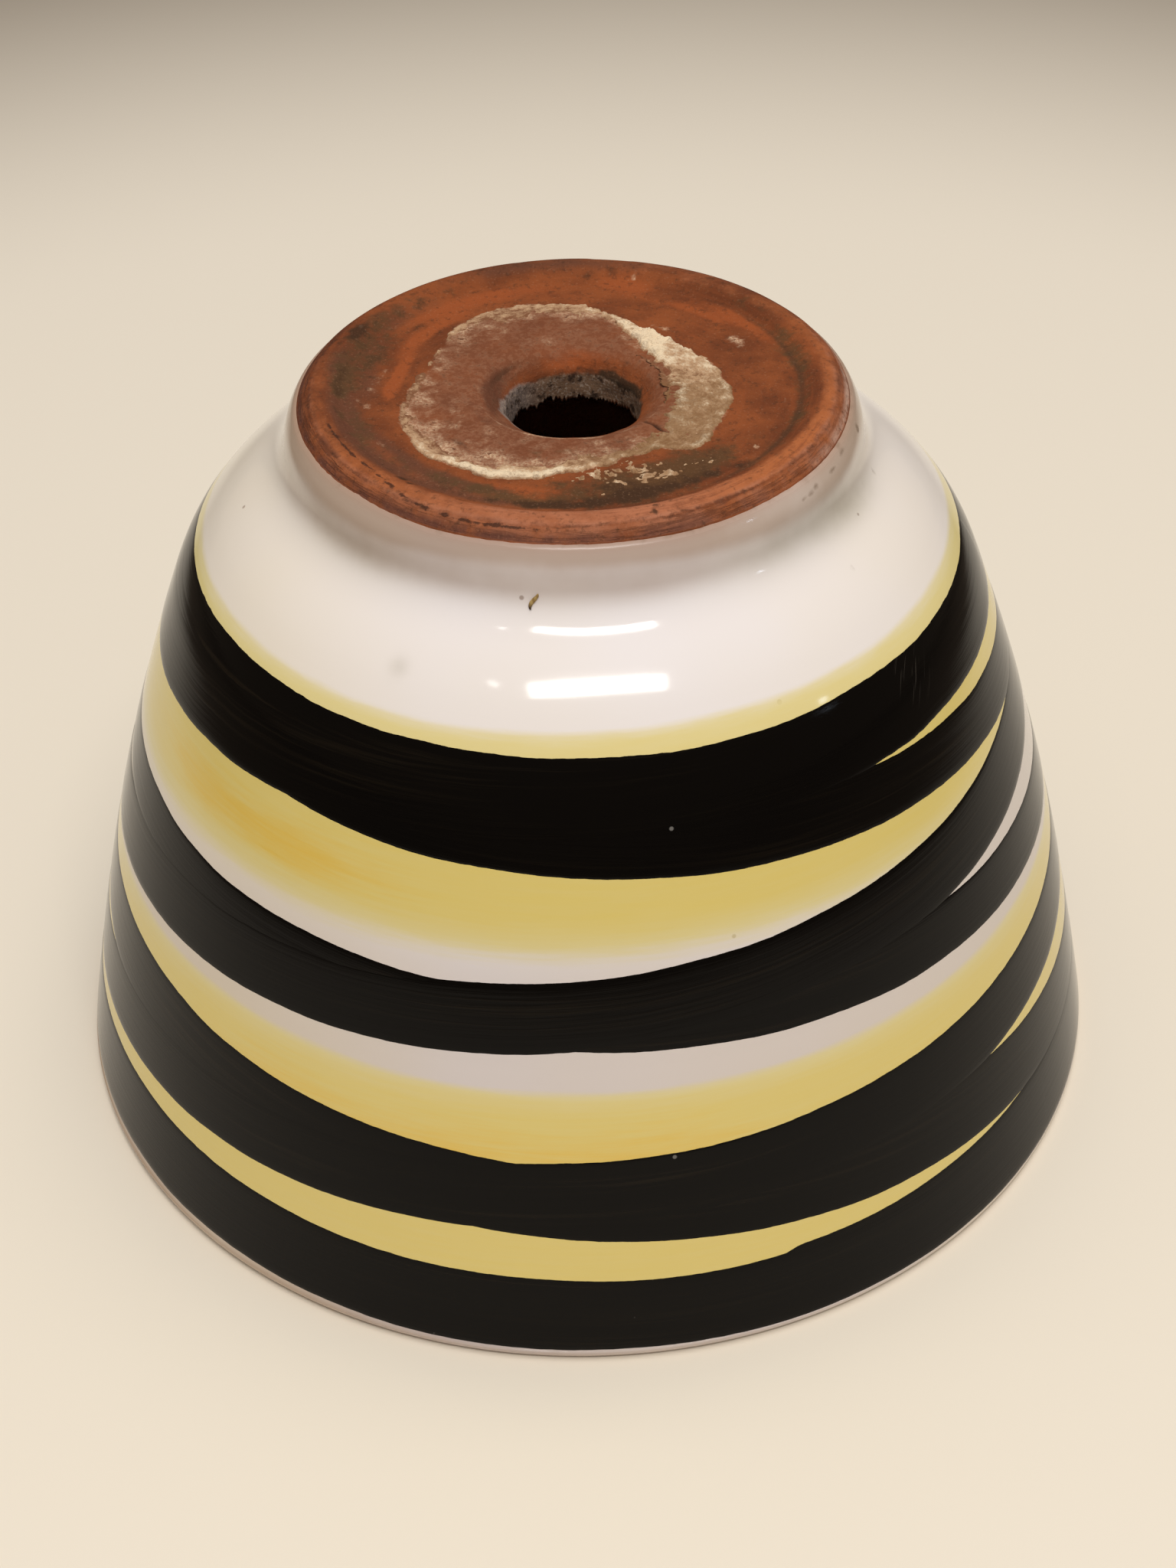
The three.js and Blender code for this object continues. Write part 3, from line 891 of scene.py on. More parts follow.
# Marks on the bare foot: turn, radius, half length round the axis, half width, strength
footMarks = {
    "soot": [
        (-0.27, 12.0, 6.0, 1.4, 1.0), (-0.14, 23.5, 7.0, 1.6, 0.45), (-0.22, 18.0, 6.0, 2.0, 0.4),
        (-0.17, 15.0, 6.0, 1.0, 0.5), (-0.25, 11.3, 5.0, 1.2, 0.9),
    ],
    "stain": [
        (-0.39, 34.0, 9.0, 2.2, 0.35), (-0.325, 35.0, 2.6, 1.3, 1.2), (-0.30, 31.0, 9.0, 3.0, 0.35),
        (-0.258, 33.4, 5.0, 1.2, 0.6), (0.29, 32.8, 9.0, 1.3, 0.2), (0.47, 34.4, 1.6, 1.9, 0.7),
        (0.488, 33.0, 1.2, 1.0, 0.8), (0.046, 36.3, 0.5, 0.9, 1.3), (-0.12, 33.9, 1.0, 0.6, 1.0),
        (-0.112, 34.2, 0.6, 0.5, 1.0), (0.049, 34.7, 0.4, 0.5, 1.1), (-0.08, 31.6, 8.0, 0.7, 0.35),
        (0.0, 30.8, 7.0, 1.5, 0.9), (-0.035, 31.4, 6.0, 0.9, 0.5),
        (0.04, 29.2, 5.0, 2.2, 0.7), (0.09, 30.2, 7.0, 1.7, 0.75), (0.115, 26.5, 3.0, 1.6, 0.5),
        (0.02, 26.5, 3.0, 1.4, 0.6), (-0.2, 36.2, 7.0, 0.6, 0.5), (-0.445, 36.6, 8.0, 1.0, 0.45),
        (0.4, 36.4, 9.0, 0.8, 0.4), (0.125, 31.6, 1.5, 0.7, 0.9), (0.055, 33.2, 1.0, 0.5, 0.8),
        (-0.36, 29.5, 2.0, 0.8, 0.6), (-0.13, 21.5, 2.5, 0.8, 0.5), (-0.17, 19.2, 2.0, 0.7, 0.45),
        (0.06, 16.4, 4.0, 0.8, 0.5),
    ],
    "olive": [
        (0.06, 27.2, 13.0, 4.2, 1.2), (-0.03, 30.6, 8.0, 1.6, 0.8), (0.02, 18.6, 8.0, 2.2, 0.45),
        (-0.30, 31.5, 10.0, 3.4, 0.6), (-0.36, 34.5, 14.0, 2.0, 0.5), (-0.257, 33.2, 6.0, 1.3, 0.9),
        (-0.11, 30.3, 9.0, 1.2, 0.3), (-0.19, 31.8, 8.0, 2.0, 0.5), (0.105, 27.0, 6.0, 2.6, 0.5),
        (0.29, 32.6, 9.0, 1.8, 0.7), (0.37, 34.2, 10.0, 1.8, 0.35), (0.2, 32.8, 12.0, 1.2, 0.55),
        (-0.075, 29.0, 5.0, 1.3, 0.7),
    ],
    "damp": [
        (-0.177, 32.4, 12.0, 2.6, 1.1), (-0.12, 32.0, 10.0, 1.8, 0.9), (-0.06, 31.6, 8.0, 1.2, 0.7),
        (-0.225, 33.0, 7.0, 2.0, 0.8), (-0.16, 29.6, 8.0, 1.8, 0.7), (-0.31, 31.6, 10.0, 3.0, 0.6),
        (-0.28, 34.5, 6.0, 1.8, 0.7), (-0.37, 33.5, 9.0, 2.5, 0.5), (-0.1, 29.2, 8.0, 1.2, 0.5),
        (-0.26, 29.0, 5.0, 1.5, 0.6), (-0.07, 29.0, 6.0, 1.3, 0.7),
        (0.5, 35.6, 18.0, 2.2, 0.9),
    ],
    "rust": [
        (-0.42, 30.0, 14.0, 2.4, 1.0), (-0.29, 25.2, 6.0, 1.0, 1.2), (-0.35, 26.9, 7.0, 1.2, 1.2),
        (-0.25, 26.2, 4.0, 0.9, 0.8), (0.35, 31.0, 8.0, 1.8, 1.0),
        (0.39, 28.2, 8.0, 1.3, 0.8), (0.455, 31.0, 6.0, 2.6, 0.8), (0.2, 27.0, 14.0, 2.6, 0.2),
        (-0.045, 27.8, 8.0, 1.2, 0.7), (0.5, 11.6, 8.0, 2.0, 0.9), (0.12, 33.8, 12.0, 0.9, 0.5),
        (-0.14, 31.0, 12.0, 1.5, 0.5),
    ],
    "spots": [
        (-0.255, 28.8, 3.0, 0.8, 0.42), (-0.241, 30.6, 2.2, 0.7, 0.38), (-0.228, 29.2, 1.6, 0.8, 0.4),
        (-0.331, 35.3, 0.7, 0.4, 1.0), (0.153, 30.3, 0.5, 0.45, 1.0), (0.224, 30.2, 1.3, 0.6, 0.7),
        (0.325, 27.0, 2.5, 1.2, 0.75), (0.39, 21.6, 3.0, 0.8, 0.5), (0.453, 33.3, 0.4, 0.7, 0.9),
        (-0.28, 27.4, 2.4, 0.6, 0.5), (-0.17, 30.3, 3.0, 0.5, 0.5), (0.015, 33.6, 2.0, 0.4, 0.5),
        (0.06, 33.9, 1.5, 0.3, 0.5),
    ],
}

crustRows = {
    # for each twenty-fourth of a turn from the back: the outer radius of the lime, how far inwards
    # its pale film runs out, and how strong the film is
    "outer": [25.0, 25.8, 26.2, 25.0, 22.8, 22.4, 23.8, 25.6, 26.6, 27.3, 26.4, 25.6,
              23.0, 21.6, 20.9, 24.2, 23.6, 23.1, 22.3, 21.3, 19.9, 19.8, 20.3, 22.2],
    "depth": [9, 9, 9, 7, 6, 6, 9, 12, 13, 13, 13, 11, 9, 8, 8, 9, 10, 10, 9.5, 8.5, 7, 7, 6, 6],
    "film": [0.8, 0.85, 0.8, 0.65, 0.55, 0.55, 0.65, 0.7, 0.75, 0.9, 0.95, 0.9,
             0.9, 0.8, 0.8, 0.8, 0.85, 0.9, 0.9, 0.9, 0.9, 0.9, 0.9, 0.85],
}


def limeEdge(turn):
    return fromBack(crustRows["outer"], turn) + 0.4 * ripple(turn, 61, 8, 40)


def crackAt(turn, r):
    # The crack runs outwards from the drain hole, a little askew, and is widest half way. Each point
    # has e^(-d^2), with d its distance from the crack's line in half widths.
    middle = 0.1278 - 0.00077 * (r - 13.2) + 0.0011 * np.sin(r * 2.1)
    width = 0.19 + 0.16 * bell(r - 16.2, 0.9)
    away = wayRound(turn, middle) * 2 * np.pi * r
    return bell(away, width) * ease((r - 12.6) / 0.8) * ease((18.9 - r) / 1.2)


# Radii on the foot, and heights on the base and in the hole
footPlaces = {
    "verge": 38.3, "crestOuter": 37.7, "crestTurn": 37.5, "edge": 36.9, "crestInner": 32.5,
    "corner": 32.3, "baseOuter": 31.8, "mouth": 13.5, "groove": 12.0, "hole": 9.5,
    "baseLow": 112, "mouthLow": 109.5, "liningTop": 110.5, "liningEnd": 105.7, "dark": 107.0,
}


def markFoot(turn, r, z, isFoot, isInside, onMouth):
    # What has settled on the clay: a number per point for each kind of mark, from 0 to about 1
    spot = footPlaces
    angle = 2 * np.pi * turn
    near = 0.5 + 0.5 * np.cos(angle)     # 1 at the side nearest the camera, 0 at the back
    left = np.clip(-np.sin(angle), 0, 1)
    sideways = np.abs(np.sin(angle))
    inward = limeEdge(turn) - r
    fading = 1 - 0.8 * ease(inward / fromBack(crustRows["depth"], turn) * 1.15)
    onBase = ease((z - 112.4) / 0.6) * ease((spot["baseOuter"] - r) / 0.5)
    sway = 0.4 * ripple(turn, 51, 1, 9)
    crest = (ease((r - spot["crestInner"] - 1.9 * sideways ** 2 - sway) / 1.7)
             * ease((spot["crestOuter"] + sway / 2 - r) / 0.5))
    wear = np.clip(0.45 + 0.5 * np.cos(2 * np.pi * (turn - 0.08)) + 0.1 * ripple(turn, 52, 2, 14), 0, 1)
    # painted shade in the corner inside the ring, strongest to the right
    corner = 0.2 * near + 0.6 * ease(1.6 * np.cos(2 * np.pi * (turn - 0.24)) - 0.5)
    corner = corner * (1 + 0.3 * ripple(turn, 49, 2, 9))
    seam = smoothRows(clayShape["seam"], np.clip((turn + 0.22) / 0.02, 0, 9))
    jag = spot["liningEnd"] + 0.35 * ripple(turn, 55, 3, 60)
    top = spot["liningTop"] + 0.2 * sideways + 0.9 * left ** 2 + 0.4 * ripple(turn, 54, 2, 20)
    marks = {kind: patches(turn, r, each) * (z > spot["mouthLow"]) for kind, each in footMarks.items()}
    marks.update({
        "film": (onBase * fromBack(crustRows["film"], turn) * ease(inward / 0.8) * fading
                 + 0.8 * near ** 3 * bell(r - spot["mouth"], 0.3) * (z > spot["baseLow"])),
        "haze": (ease((inward + 0.4 * ripple(turn, 67, 10, 60)) / 1.6)
                 * ease((r - spot["hole"]) / (4.0 - 2.6 * left)) * (z > 109)),
        "worn": wear * (crest + 0.5 * ease((r - spot["crestTurn"]) / 0.3)),
        "corner": corner * bell(r - spot["corner"] - 0.2 * ripple(turn, 53, 1, 6), 0.65),
        "edge": (ease((r - spot["edge"]) / 0.4) * (0.65 + 0.35 * ripple(turn, 68, 2, 12))
                 * (1 - 0.6 * bell(turn - 0.25, 0.1))),
        # below nil on the right, where the painted highlight goes
        "verge": ease((r - spot["verge"]) / 0.4) * (1 - 1.9 * bell(turn - 0.23, 0.11)),
        "seam": bell(r - seam, 0.32) * ease((turn + 0.22) / 0.03) * ease(-turn / 0.04),
        "crack": crackAt(turn, r) * (z > spot["baseLow"]),
        "lining": onMouth * ease((z - jag) / 0.7) * ease((top - z) / 1.5),
        "lip": (onMouth * bell(z - top + 0.6, 0.7) * (0.75 + 0.6 * mottle(turn, 13, z / 3, 58))
                * (1 - left)),
        # painted shade, darker deeper down the hole
        "hole": onMouth * ease((spot["dark"] - z) / 1.6),
        "groove": bell(r - spot["groove"], 0.3) * ease(1 - np.abs(turn + 0.335) / 0.09) * (z > 111),
    })
    marks = {kind: isFoot * mark for kind, mark in marks.items()}
    marks["inside"] = isInside + 0 * turn
    return marks


def makeClay(material):
    # Closed section: up under the glaze, over the bare foot, down the hole, across the floor inside
    # and back to the lip. Each point moves along its normal by the marks of throwing and trimming.
    shape = clayShape
    turn = wholeTurn(shape["turns"])
    turn = np.where(turn > 0.5, turn - 1, turn)
    under = evenly(outside[outside[:, 1] < 112.3], 4.0)
    into = np.stack([np.interp(under[:, 1], outside[:, 1], intoWall[:, k]) for k in (0, 1)], -1)
    depth = form["claySkin"] * (1.25 - 1.15 * ease((under[:, 1] - 110.2) / 2.0))
    foot = drawnLine(shape["foot"], shape["footStep"])
    floor = drawnLine(shape["inside"], shape["insideStep"])[1:]
    wall = onWall(0.0, np.arange(*shape["wallRows"]), -form["claySkin"] - shape["wall"])
    section = np.concatenate([under + into * depth[:, None], foot, floor, wall,
                              lipLine(form["claySkin"] * 1.2, 7)[::-1]])
    tangent = np.roll(section, -1, 0) - np.roll(section, 1, 0)
    tangent /= np.hypot(*tangent.T)[:, None]
    outward = np.stack([tangent[:, 1], -tangent[:, 0]], -1)
    r, z = section[:, 0][None, :], section[:, 1][None, :]
    first, last = len(under), len(under) + len(foot)
    rows = np.arange(len(section))[None, :]
    isFoot = ((rows >= first) & (rows < last)).astype(float)
    isInside = (rows >= last).astype(float) * (z > 26)
    onBase = isFoot * ease((33 - r) / 2) * ease((r - 13.5) / 1.5) * (z > 111)
    onRing = isFoot * ease((r - 31.5) / 2) * ease((rows - first) / 5)
    onMouth = isFoot * ease((14.5 - r) / 1.5)
    marks = markFoot(turn, r, z, isFoot, isInside, onMouth)
    ringOut, ringApart = shape["throwing"]
    rings = ringOut * np.cos((z / ringApart + turn) * 2 * np.pi)
    pocks = ease(mottles(turn, rows, shape["pocks"]) - 1)
    move = (onBase * (mottles(turn, r, shape["onBase"]) + 0.02 * np.cos(r * 2.4))
            - onRing * (0.05 + mottles(turn, rows, shape["onRing"]) + 0.05 * pocks)
            + onMouth * (mottles(turn, rows, shape["onMouth"]) - 0.08)
            + isInside * (rings + mottles(turn, z, shape["onInside"]))
            - 0.4 * marks["crack"] - 0.25 * marks["groove"])
    line = section[None] + outward[None] * move[..., None]
    shift = shape["mouthShift"] * isFoot * bell(r - 12.2, 1.6) * (z > footPlaces["mouthLow"])
    burr = ripples(turn, shape["burr"]) * ease((107.6 - z) / 1.6) * ease((13 - r) / 2.5)
    burr = burr * (isFoot + isInside * (rows < last + 2))
    line = line + np.stack([shift * np.cos(2 * np.pi * turn), burr], -1)
    return addPiece("clayBody", circle(turn, line), material, "clay_body", marks)


def makeTerracotta():
    # The fired clay, and over it one mark after another, the oldest first
    material, shader, place = startMaterial("terracotta", IOR=1.3)
    look = clayLook
    slow, blotches, fine, grit = [grain(place, *each) for each in clayGrains.values()]
    trimming = turnedGrain(place, 2.2, 3.0, 6.0, 0.66)
    radius = useGroup(turnedGroup, Vector=place)["Radius"]
    x = feed("ShaderNodeSeparateXYZ", {0: place}).outputs[0]
    edge, worn, verge = [painted(place, label) for label in ("edge", "worn", "verge")]

    aside = fit(calc("ABSOLUTE", x), 0.008, 0.028)
    bright = mixColour(aside, look["rosy"], look["bright"])
    hazy = mixColour(fit(fine, 0.42, 0.66), look["mauve"], look["pink"])
    filmy = mixColour(fit(grit, 0.4, 0.62), look["film"], look["pale"])
    filmy = mixColour(fit(fine, 0.56, 0.7), filmy, look["mauve"])
    crusty = mixColour(fit(x, -0.0035, -0.0085), *look["lining"])
    crusty = mixColour(fit(grit, 0.5, 0.66), crusty, look["liningPale"])
    pits = fit(grain(place, 560.0, 4.0, 0.7), 0.5, 0.66)
    crusty = mixColour(pits, crusty, look["liningDark"])
    over = dict(look, haze=hazy, worn=bright, film=filmy, spots=filmy, lining=crusty)

    def cover(under, *labels):
        for label in labels:
            *cut, most = clayCovers[label]
            under = lay(under, over[label], ragged(place, label, *cut), most)
        return under

    body = mixColour(fit(slow, 0.38, 0.66), look["body"], look["dark"])
    body = lay(body, look["rust"], fit(trimming, 0.45, 0.75), 0.3)
    body = lay(body, look["dark"], fit(blotches, 0.5, 0.72), 0.5)
    body = cover(body, "damp", "rust", "haze", "soot", "worn")
    scuffs = mixNumber(0.45, turnedGrain(place, 3.0, 6.0, 5.0, 0.7), grain(place, 520.0, 5.0, 0.7))
    body = lay(body, look["scuff"], times(fit(scuffs, 0.48, 0.62), worn), 0.6)
    # corner among these is painted shade
    body = cover(body, "olive", "film", "spots", "corner", "stain")
    rosy = times(fit(radius, 36.4, 37.6), fit(blotches, 0.34, 0.6))
    body = lay(body, look["outerRing"], times(rosy, worn), 0.7)
    streaks = turnedGrain(place, 5.0, 3.2, 4.0, 0.7)
    streaks = times(fit(streaks, 0.47, 0.6), edge)
    body = lay(body, look["streak"], streaks, 0.75)
    # a thin dark line where the crest turns over, broken and a little wavy
    waver = plus(times(blotches, 1.8), 36.5)
    beside = calc("ABSOLUTE", calc("SUBTRACT", radius, waver))
    broken = times(fit(grain(place, 130.0), 0.36, 0.56), fit(fine, 0.36, 0.54))
    line = times(fit(beside, 0.34, 0.08), broken)
    body = lay(body, look["crestLine"], times(line, edge), 0.8)
    # along the glaze the clay is darkened, and a painted highlight lies where the verge mark is below
    # nil
    spread = fit(blotches, 0.36, 0.6, 0.2, 0.8)
    for sign, label in ((1.0, "vergeDark"), (-1.0, "vergeHighlight")):
        along = calc("MAXIMUM", times(verge, sign), 0.0)
        body = lay(body, look[label], along, spread)
    body = cover(body, "seam")
    body = lay(body, look["stain"], painted(place, "groove"), 0.7)
    # painted shade down the hole
    body = mixColour(painted(place, "hole"), body, look["hole"])
    body = cover(body, "lining", "lip")
    body = lay(body, look["crack"], painted(place, "crack"), 0.95)
    body = lay(body, look["stain"], fit(fine, 0.52, 0.72), 0.5)
    body = lay(body, look["film"], fit(grit, 0.56, 0.72), 0.16)
    inner = mixColour(fit(slow, 0.45, 0.75), *look["inside"])
    body = mixColour(painted(place, "inside"), body, inner)
    bumps = [(trimming, 0.0002, 0.35), (blotches, 0.0005, 0.4), (fine, 0.0003, 0.6),
             (streaks, -0.0002, 0.6)]
    joinUp(shader, body, fit(slow, 0.3, 0.7, *look["roughness"]), bumps)
    return material


makeClay(makeTerracotta())


# Lime crust

limeLook = {
    "low": tint(126, 84, 58),
    "middle": tint(184, 148, 114),
    "high": tint(229, 207, 175),
    "khaki": tint(132, 98, 64),
    "pits": tint(112, 76, 50),
    "crack": tint(56, 36, 24),
}

crustShape = {
    "turns": 960, "across": 34,
    "lumps": [(120, 1.15, 65), (400, 0.4, 66), (45, 3.0, 69)],      # how many round, size across, seed
    "tallest": 0.95,
    "outerWaves": [(0.1, 62, 60, 300)],
    "innerWaves": [(0.5, 63, 8, 40), (0.2, 64, 60, 240)],
    # for each twenty-fourth of a turn from the back: inner radius, how thick the lime stands along
    # its outer edge, in between and along its inner edge, and how khaki it is
    "inner": [20.5, 21, 21, 22.5, 20.5, 20, 21, 22, 22.5, 23, 22, 20, 18, 17.2, 16.8, 15.5,
              14.2, 13.4, 13.0, 12.8, 12.9, 13.6, 15.4, 19.3],
    "outerBank": [0.22, 0.26, 0.14, 0.28, 0.2, 0.1, 0.09, 0.1, 0.22, 0.54, 0.6, 0.52, 0.42, 0.36, 0.28,
                  0.34, 0.34, 0.3, 0.32, 0.3, 0.34, 0.36, 0.36, 0.36],
    "skin": [0.16, 0.16, 0.14, 0.04, 0, 0.03, 0.05, 0.06, 0.1, 0.18, 0.25, 0.25, 0.22, 0.18, 0.18, 0.24,
             0.26, 0.26, 0.26, 0.32, 0.38, 0.42, 0.38, 0.28],
    "innerBank": [0, 0, 0, 0, 0, 0, 0, 0, 0, 0, 0, 0, 0, 0, 0, 0.05, 0.1, 0.12, 0.18, 0.26, 0.34, 0.34,
                  0.3, 0.2],
    "khaki": [0, 0, 0, 0, 0, 0, 0, 0, 0, 0.1, 0.2, 0.4, 0.6, 0.8, 1, 1, 1, 0.95, 0.8, 0.5, 0.2,
              0.1, 0, 0],
}

flecksShape = {
    "turns": 420, "across": 64, "span": (-0.02, 0.17), "radii": (21.0, 31.0), "height": 0.4,
    "lumps": [(0.62, 150, 0.9, 71), (0.5, 420, 0.34, 72)],
    # heaps: turn, radius, half length, half width, strength
    "heaps": [(0.05, 26.4, 5.0, 3.0, 1.1), (0.035, 23.5, 6.0, 1.6, 0.9), (0.1, 26.8, 5.5, 1.3, 0.75),
              (0.13, 28.3, 3.0, 0.8, 0.5)],
}


def makeLime():
    # High lumps are pale, low places let the brown clay through
    material, shader, place = startMaterial("lime", Roughness=0.95, IOR=1.3)
    look = limeLook
    fine = grain(place, 1500.0, 4.0, 0.7)
    layers = turnedGrain(place, 14.0, 7.0, 4.0, 0.66)
    lumps = mixNumber(0.4, grain(place, 620.0, 5.0, 0.66), layers)
    height = unsettle(unsettle(painted(place, "thick"), lumps, 2.2), fine, 0.9)
    body = mixColour(fit(height, 0.0, 0.5), look["low"], look["middle"])
    body = mixColour(fit(height, 0.45, 0.95), body, look["high"])
    khaki = unsettle(painted(place, "khaki"), lumps, -1.8)
    body = lay(body, look["khaki"], fit(khaki, 0.4, 1.1), 0.72)
    body = lay(body, look["pits"], fit(fine, 0.54, 0.7), 0.5)
    body = mixColour(painted(place, "crack"), body, look["crack"])
    joinUp(shader, body, None, [(lumps, 0.0006, 0.5), (fine, 0.0004, 0.7)])
    return material


def addLime(name, turn, r, tall, extra, material, around=True):
    # Lime over the base: a top that stands tall above it, closed underneath, out of sight
    top = np.stack(np.broadcast_arrays(r, form["base"] - 0.08 + tall), -1)
    under = np.stack(np.broadcast_arrays(r, form["base"] - 0.5 + 0 * turn), -1)[:, ::-6]
    grid, values = closeUnder(turn, top, under, extra)
    return addPiece(name, grid, material, "lime_crust", values, around)


def makeCrust(material):
    # A band of lime between two ragged edges. A thin skin with a bank along the inner edge, or the
    # outer bank where that is higher, is raised and lowered by lumps. Each bank is a bell across the
    # band, and where the height is nil the band dives under the clay.
    shape = crustShape
    turn = wholeTurn(shape["turns"]) - 0.5
    inner, outerBank, skin, innerBank, khaki = [
        fromBack(shape[label], turn)
        for label in ("inner", "outerBank", "skin", "innerBank", "khaki")]
    outer = limeEdge(turn) + 0.25 + ripples(turn, shape["outerWaves"])
    inner = inner + ripples(turn, shape["innerWaves"])
    r = inner + (outer - inner) * np.linspace(0, 1, shape["across"])[None, :]
    outerBank = outerBank * bell(outer - r - 1.2, 1.15)
    innerBank = innerBank * bell(r - inner - 1.6, 1.6)
    lumps, fine, broad = [0.5 + 0.5 * mottle(turn, cells, r / size, seed)
                          for cells, size, seed in shape["lumps"]]
    crack = crackAt(turn, r)
    within = np.minimum(outer - r, (r - inner) / 2.5)
    edge = ease((within - 0.5 * (1 - lumps) - 0.25 * (1 - fine)) / 0.5)
    thick = np.maximum(skin + innerBank, outerBank) + 0.3 * np.minimum(skin, outerBank)
    thick = thick * (0.5 + broad) * (1 - 0.8 * crack)
    tall = np.minimum(thick * (0.1 + 0.65 * lumps + 0.5 * fine), shape["tallest"]) * edge
    tall = tall - 0.12 * (1 - edge) - 0.06 * (1 - lumps) - 0.3 * crack
    values = {"thick": thick * edge / 0.62, "khaki": khaki, "crack": crack}
    return addLime("limeCrust", turn, r, tall, values, material)


def makeFlecks(material):
    # Loose crumbs of lime near the crust: only the peaks of two lattices of lumps break the surface
    shape = flecksShape
    turn = np.linspace(*shape["span"], shape["turns"])[:, None]
    r = np.linspace(*shape["radii"], shape["across"])[None, :]
    where = patches(turn, r, shape["heaps"])
    lumps = mottles(turn, r, shape["lumps"])
    tall = shape["height"] * np.clip(lumps - 0.95 + 0.95 * np.minimum(where, 1), -0.2, 1)
    tall = np.where(where < 0.12, -0.15, tall)
    values = {"thick": 0.5, "khaki": 0.75, "crack": 0.0}
    return addLime("limeFlecks", turn, r, tall, values, material, around=False)


lime = makeLime()
makeCrust(lime)
makeFlecks(lime)


# Straw husk on the neck

huskShape = {
    # turn and height of each point along it, on the glaze
    "line": [(-0.0199, 106.25), (-0.0204, 105.85), (-0.0217, 105.45), (-0.0231, 105.0),
             (-0.0237, 104.55), (-0.0232, 104.2)],
    "lift": 0.18,
    "halfWidth": 0.32, "along": 28, "across": 14,
    "straw": (tint(128, 98, 50), tint(178, 150, 92)),
    "tip": tint(60, 40, 24),
}


def makeHusk():
    # A bent sliver: an ellipse at each point along its line, which narrows to both ends as the sine
    # of the way along to the power 0.7
    shape = huskShape
    line = smoothRows(shape["line"], np.linspace(0, len(shape["line"]) - 1, shape["along"]))
    middle = circle(line[:, :1], onWall(line[:, :1], line[:, 1:], shape["lift"]))[:, 0]
    forward = np.gradient(middle, axis=0)
    forward /= np.linalg.norm(forward, axis=1)[:, None]
    angle = 2 * np.pi * line[:, :1]
    out = np.concatenate([np.sin(angle), -np.cos(angle), 0 * angle], 1)
    side = np.cross(forward, out)
    along = np.linspace(0, 1, shape["along"])[:, None]
    wide = (shape["halfWidth"] * np.sin(np.pi * (0.02 + 0.96 * along)) ** 0.7)[:, None]
    around = 2 * np.pi * wholeTurn(shape["across"])[None]
    grid = (middle[:, None] + wide * np.cos(around) * side[:, None]
            + 0.5 * wide * np.sin(around) * out[:, None])
    for end in (0, -1):
        grid[end] = grid[end].mean(0)
    material, shader, place = startMaterial("strawHusk", Roughness=0.7)
    fibre = drawnGrain(place, (2500.0, 2500.0, 500.0), 3.0, 0.6)
    body = mixColour(fit(fibre, 0.35, 0.7), *shape["straw"])
    body = mixColour(fit(painted(place, "tip"), 0.5, 0.9), body, shape["tip"])
    joinUp(shader, body, None, [(fibre, 0.0001, 0.5)])
    return addPiece("strawHusk", grid, material, "clay_body", {"tip": along}, around=False)


makeHusk()


# Floor, light and camera

stageSet = {
    "floor": tint(236, 226, 209),
    "size": 6.0,
    "worldColour": (0.96, 0.94, 0.93, 1),
    "worldLight": 0.4,
    "backdrop": tint(118, 104, 88),
    "paleOut": (0.27, 0.6),     # metres from the pot between which the pale floor fades to the backdrop
    "paleAside": (0.2, 0.36),   # the same to the left and right, out of the picture
    "potMiddle": (0, 0, 0.06),
    # place, size, watts, colour, whether the glazes mirror it and a slight tilt in radians; each
    # lamp looks at the pot's middle
    "lamps": {
        "key": ((0.075, -0.594, 1.045), (0.60, 0.1), 4.3, (1.0, 0.97, 0.93), True, -0.04),
        "overhead": ((0.1, 0.0, 1.35), (1.1, 0.9), 9.0, (1.0, 0.965, 0.92), False, 0),
        "window": ((-0.3, -0.447, 0.852), (0.035, 0.015), 0.03, (1.0, 0.98, 0.95), True, 0),
        "sparkle": ((0.825, -0.333, 0.405), (0.034, 0.034), 0.04, (0.75, 0.86, 1.0), True, 0),
    },
}


def makeFloor():
    size = stageSet["size"] / 2
    mesh = bpy.data.meshes.new("floor")
    corners = [(-size, -size, 0), (size, -size, 0), (size, size, 0), (-size, size, 0)]
    mesh.from_pydata(corners, [], [(0, 1, 2, 3)])
    material, shader, place = startMaterial("paleFloor", Roughness=0.6)
    away = feed("ShaderNodeVectorMath", {0: place}, operation="LENGTH").outputs["Value"]
    aside = calc("ABSOLUTE", feed("ShaderNodeSeparateXYZ", {0: place}).outputs[0])
    fade = calc("MAXIMUM", fit(away, *stageSet["paleOut"]), fit(aside, *stageSet["paleAside"]))
    joinUp(shader, mixColour(fade, stageSet["floor"], stageSet["backdrop"]))
    mesh.materials.append(material)
    floor = bpy.data.objects.new("floor", mesh)
    bpy.context.collection.objects.link(floor)


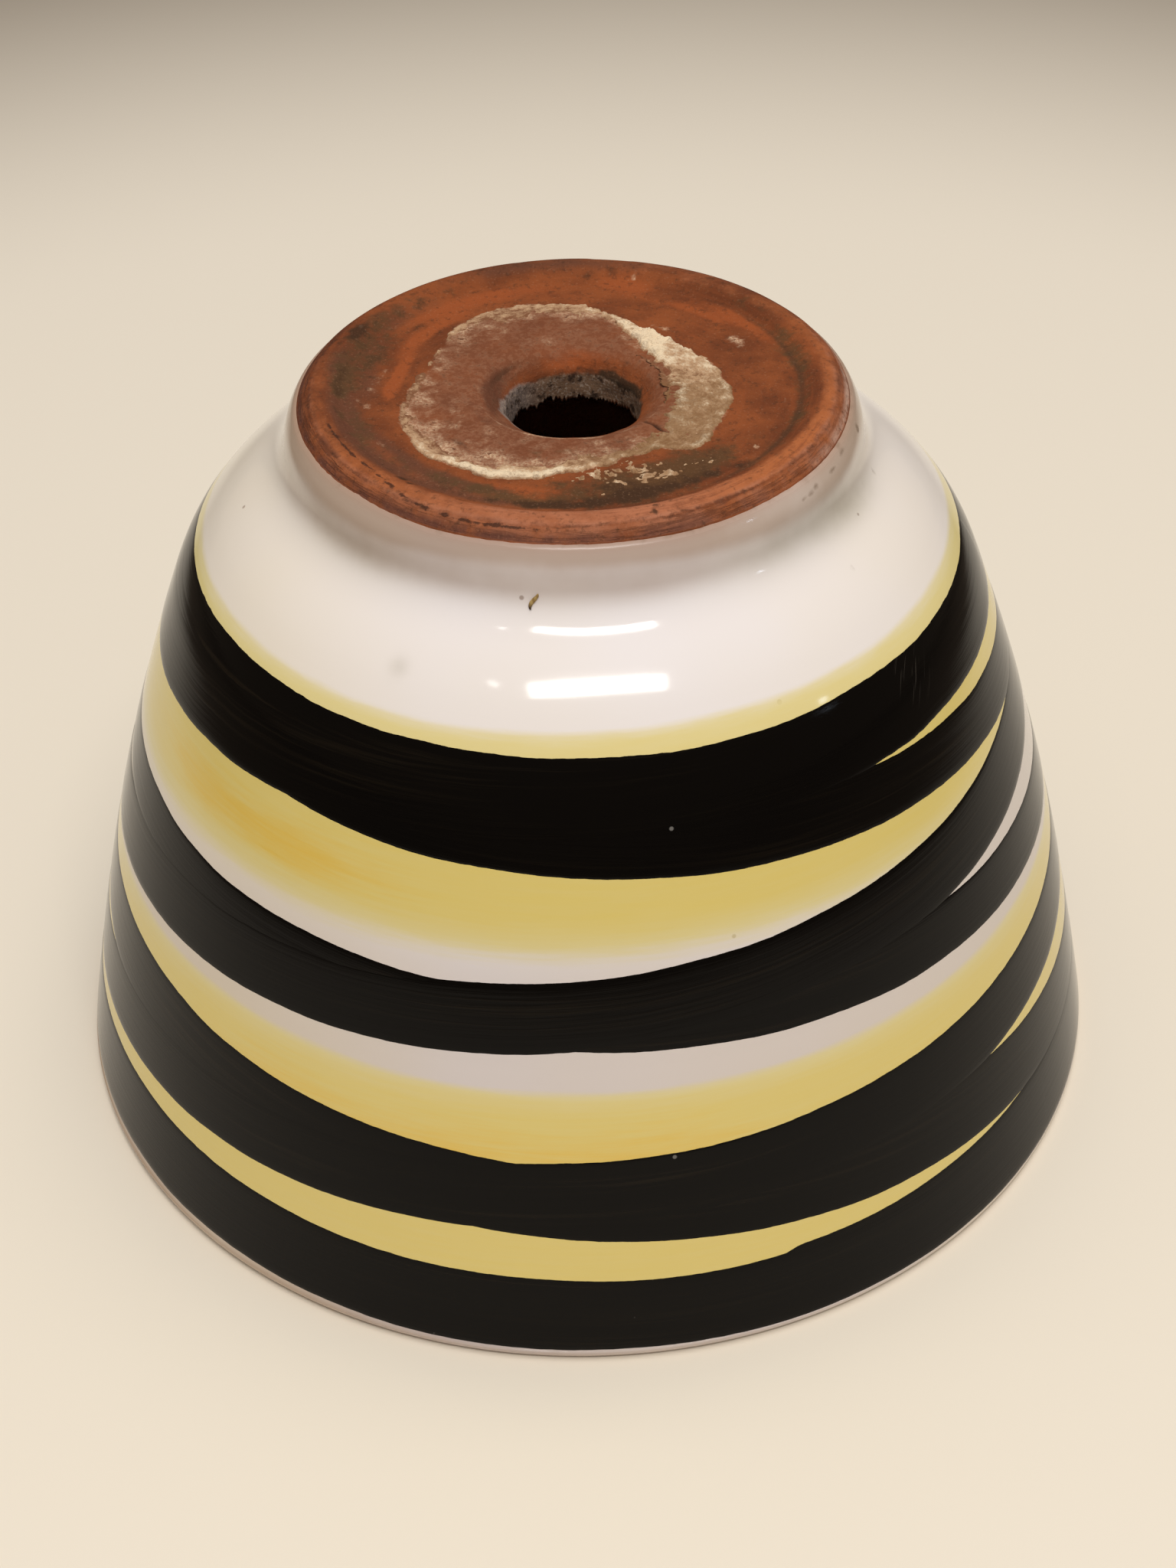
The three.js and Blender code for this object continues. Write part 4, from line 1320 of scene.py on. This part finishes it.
def makeWorld():
    # Soft light on the pot, and the plain backdrop wherever the camera sees or the glaze mirrors it
    world = bpy.data.worlds.new("studio")
    bpy.context.scene.world = world
    world.use_nodes = True
    tree = world.node_tree
    tree.nodes.clear()
    path = add(tree, "ShaderNodeLightPath").outputs
    seen = 0.0
    for ray in ("Is Camera Ray", "Is Glossy Ray", "Is Transmission Ray"):
        seen = calc("MAXIMUM", path[ray], seen)
    soft = add(tree, "ShaderNodeBackground",
               {"Color": stageSet["worldColour"], "Strength": stageSet["worldLight"]})
    plain = add(tree, "ShaderNodeBackground", {"Color": stageSet["backdrop"], "Strength": 1.0})
    both = feed("ShaderNodeMixShader", {0: seen, 1: soft.outputs[0], 2: plain.outputs[0]})
    feed("ShaderNodeOutputWorld", {0: both.outputs[0]})


def aim(thing, place, target, tilt):
    # Look from a place to a target, keeping up towards +Z but for a tilt about the line of sight
    look = Vector(target) - Vector(place)
    thing.location = place
    thing.rotation_euler = (look.to_track_quat("-Z", "Y") @ Quaternion((0, 0, 1), tilt)).to_euler()


def makeLamps():
    for name, (place, size, watts, shade, mirrored, tilt) in stageSet["lamps"].items():
        lamp = bpy.data.lights.new(name, "AREA")
        lamp.shape = "RECTANGLE"
        lamp.size, lamp.size_y = size
        lamp.energy = watts
        lamp.color = shade
        thing = bpy.data.objects.new(name, lamp)
        thing.visible_glossy = mirrored
        bpy.context.collection.objects.link(thing)
        aim(thing, place, stageSet["potMiddle"], tilt)


view = {"back": 0.31558, "height": 0.29416, "yaw": 0.0028, "pitch": 0.6764, "roll": -0.0226,
        "focalPixels": 3308.3, "picture": (1536, 2048)}


def makeCamera():
    # The photograph's own viewpoint, fitted to the rim, the foot and both outlines of the pot
    yaw, pitch, roll = view["yaw"], view["pitch"], view["roll"]
    forward = Vector((math.sin(yaw) * math.cos(pitch), math.cos(yaw) * math.cos(pitch),
                      -math.sin(pitch)))
    level = Vector((math.cos(yaw), -math.sin(yaw), 0))
    lift = level.cross(forward)
    right = math.cos(roll) * level + math.sin(roll) * lift
    up = -math.sin(roll) * level + math.cos(roll) * lift
    data = bpy.data.cameras.new("photoView")
    data.sensor_width = 36
    data.lens = view["focalPixels"] / max(view["picture"]) * data.sensor_width
    data.clip_start, data.clip_end = 0.01, 50
    camera = bpy.data.objects.new("photoView", data)
    bpy.context.collection.objects.link(camera)
    turn = Matrix((right, up, -forward)).transposed()
    camera.matrix_world = Matrix.Translation((0, -view["back"], view["height"])) @ turn.to_4x4()
    bpy.context.scene.camera = camera


makeFloor()
makeWorld()
makeLamps()
makeCamera()
bpy.context.scene.view_settings.view_transform = "Standard"
print("pot: stage, lamps and camera ready")
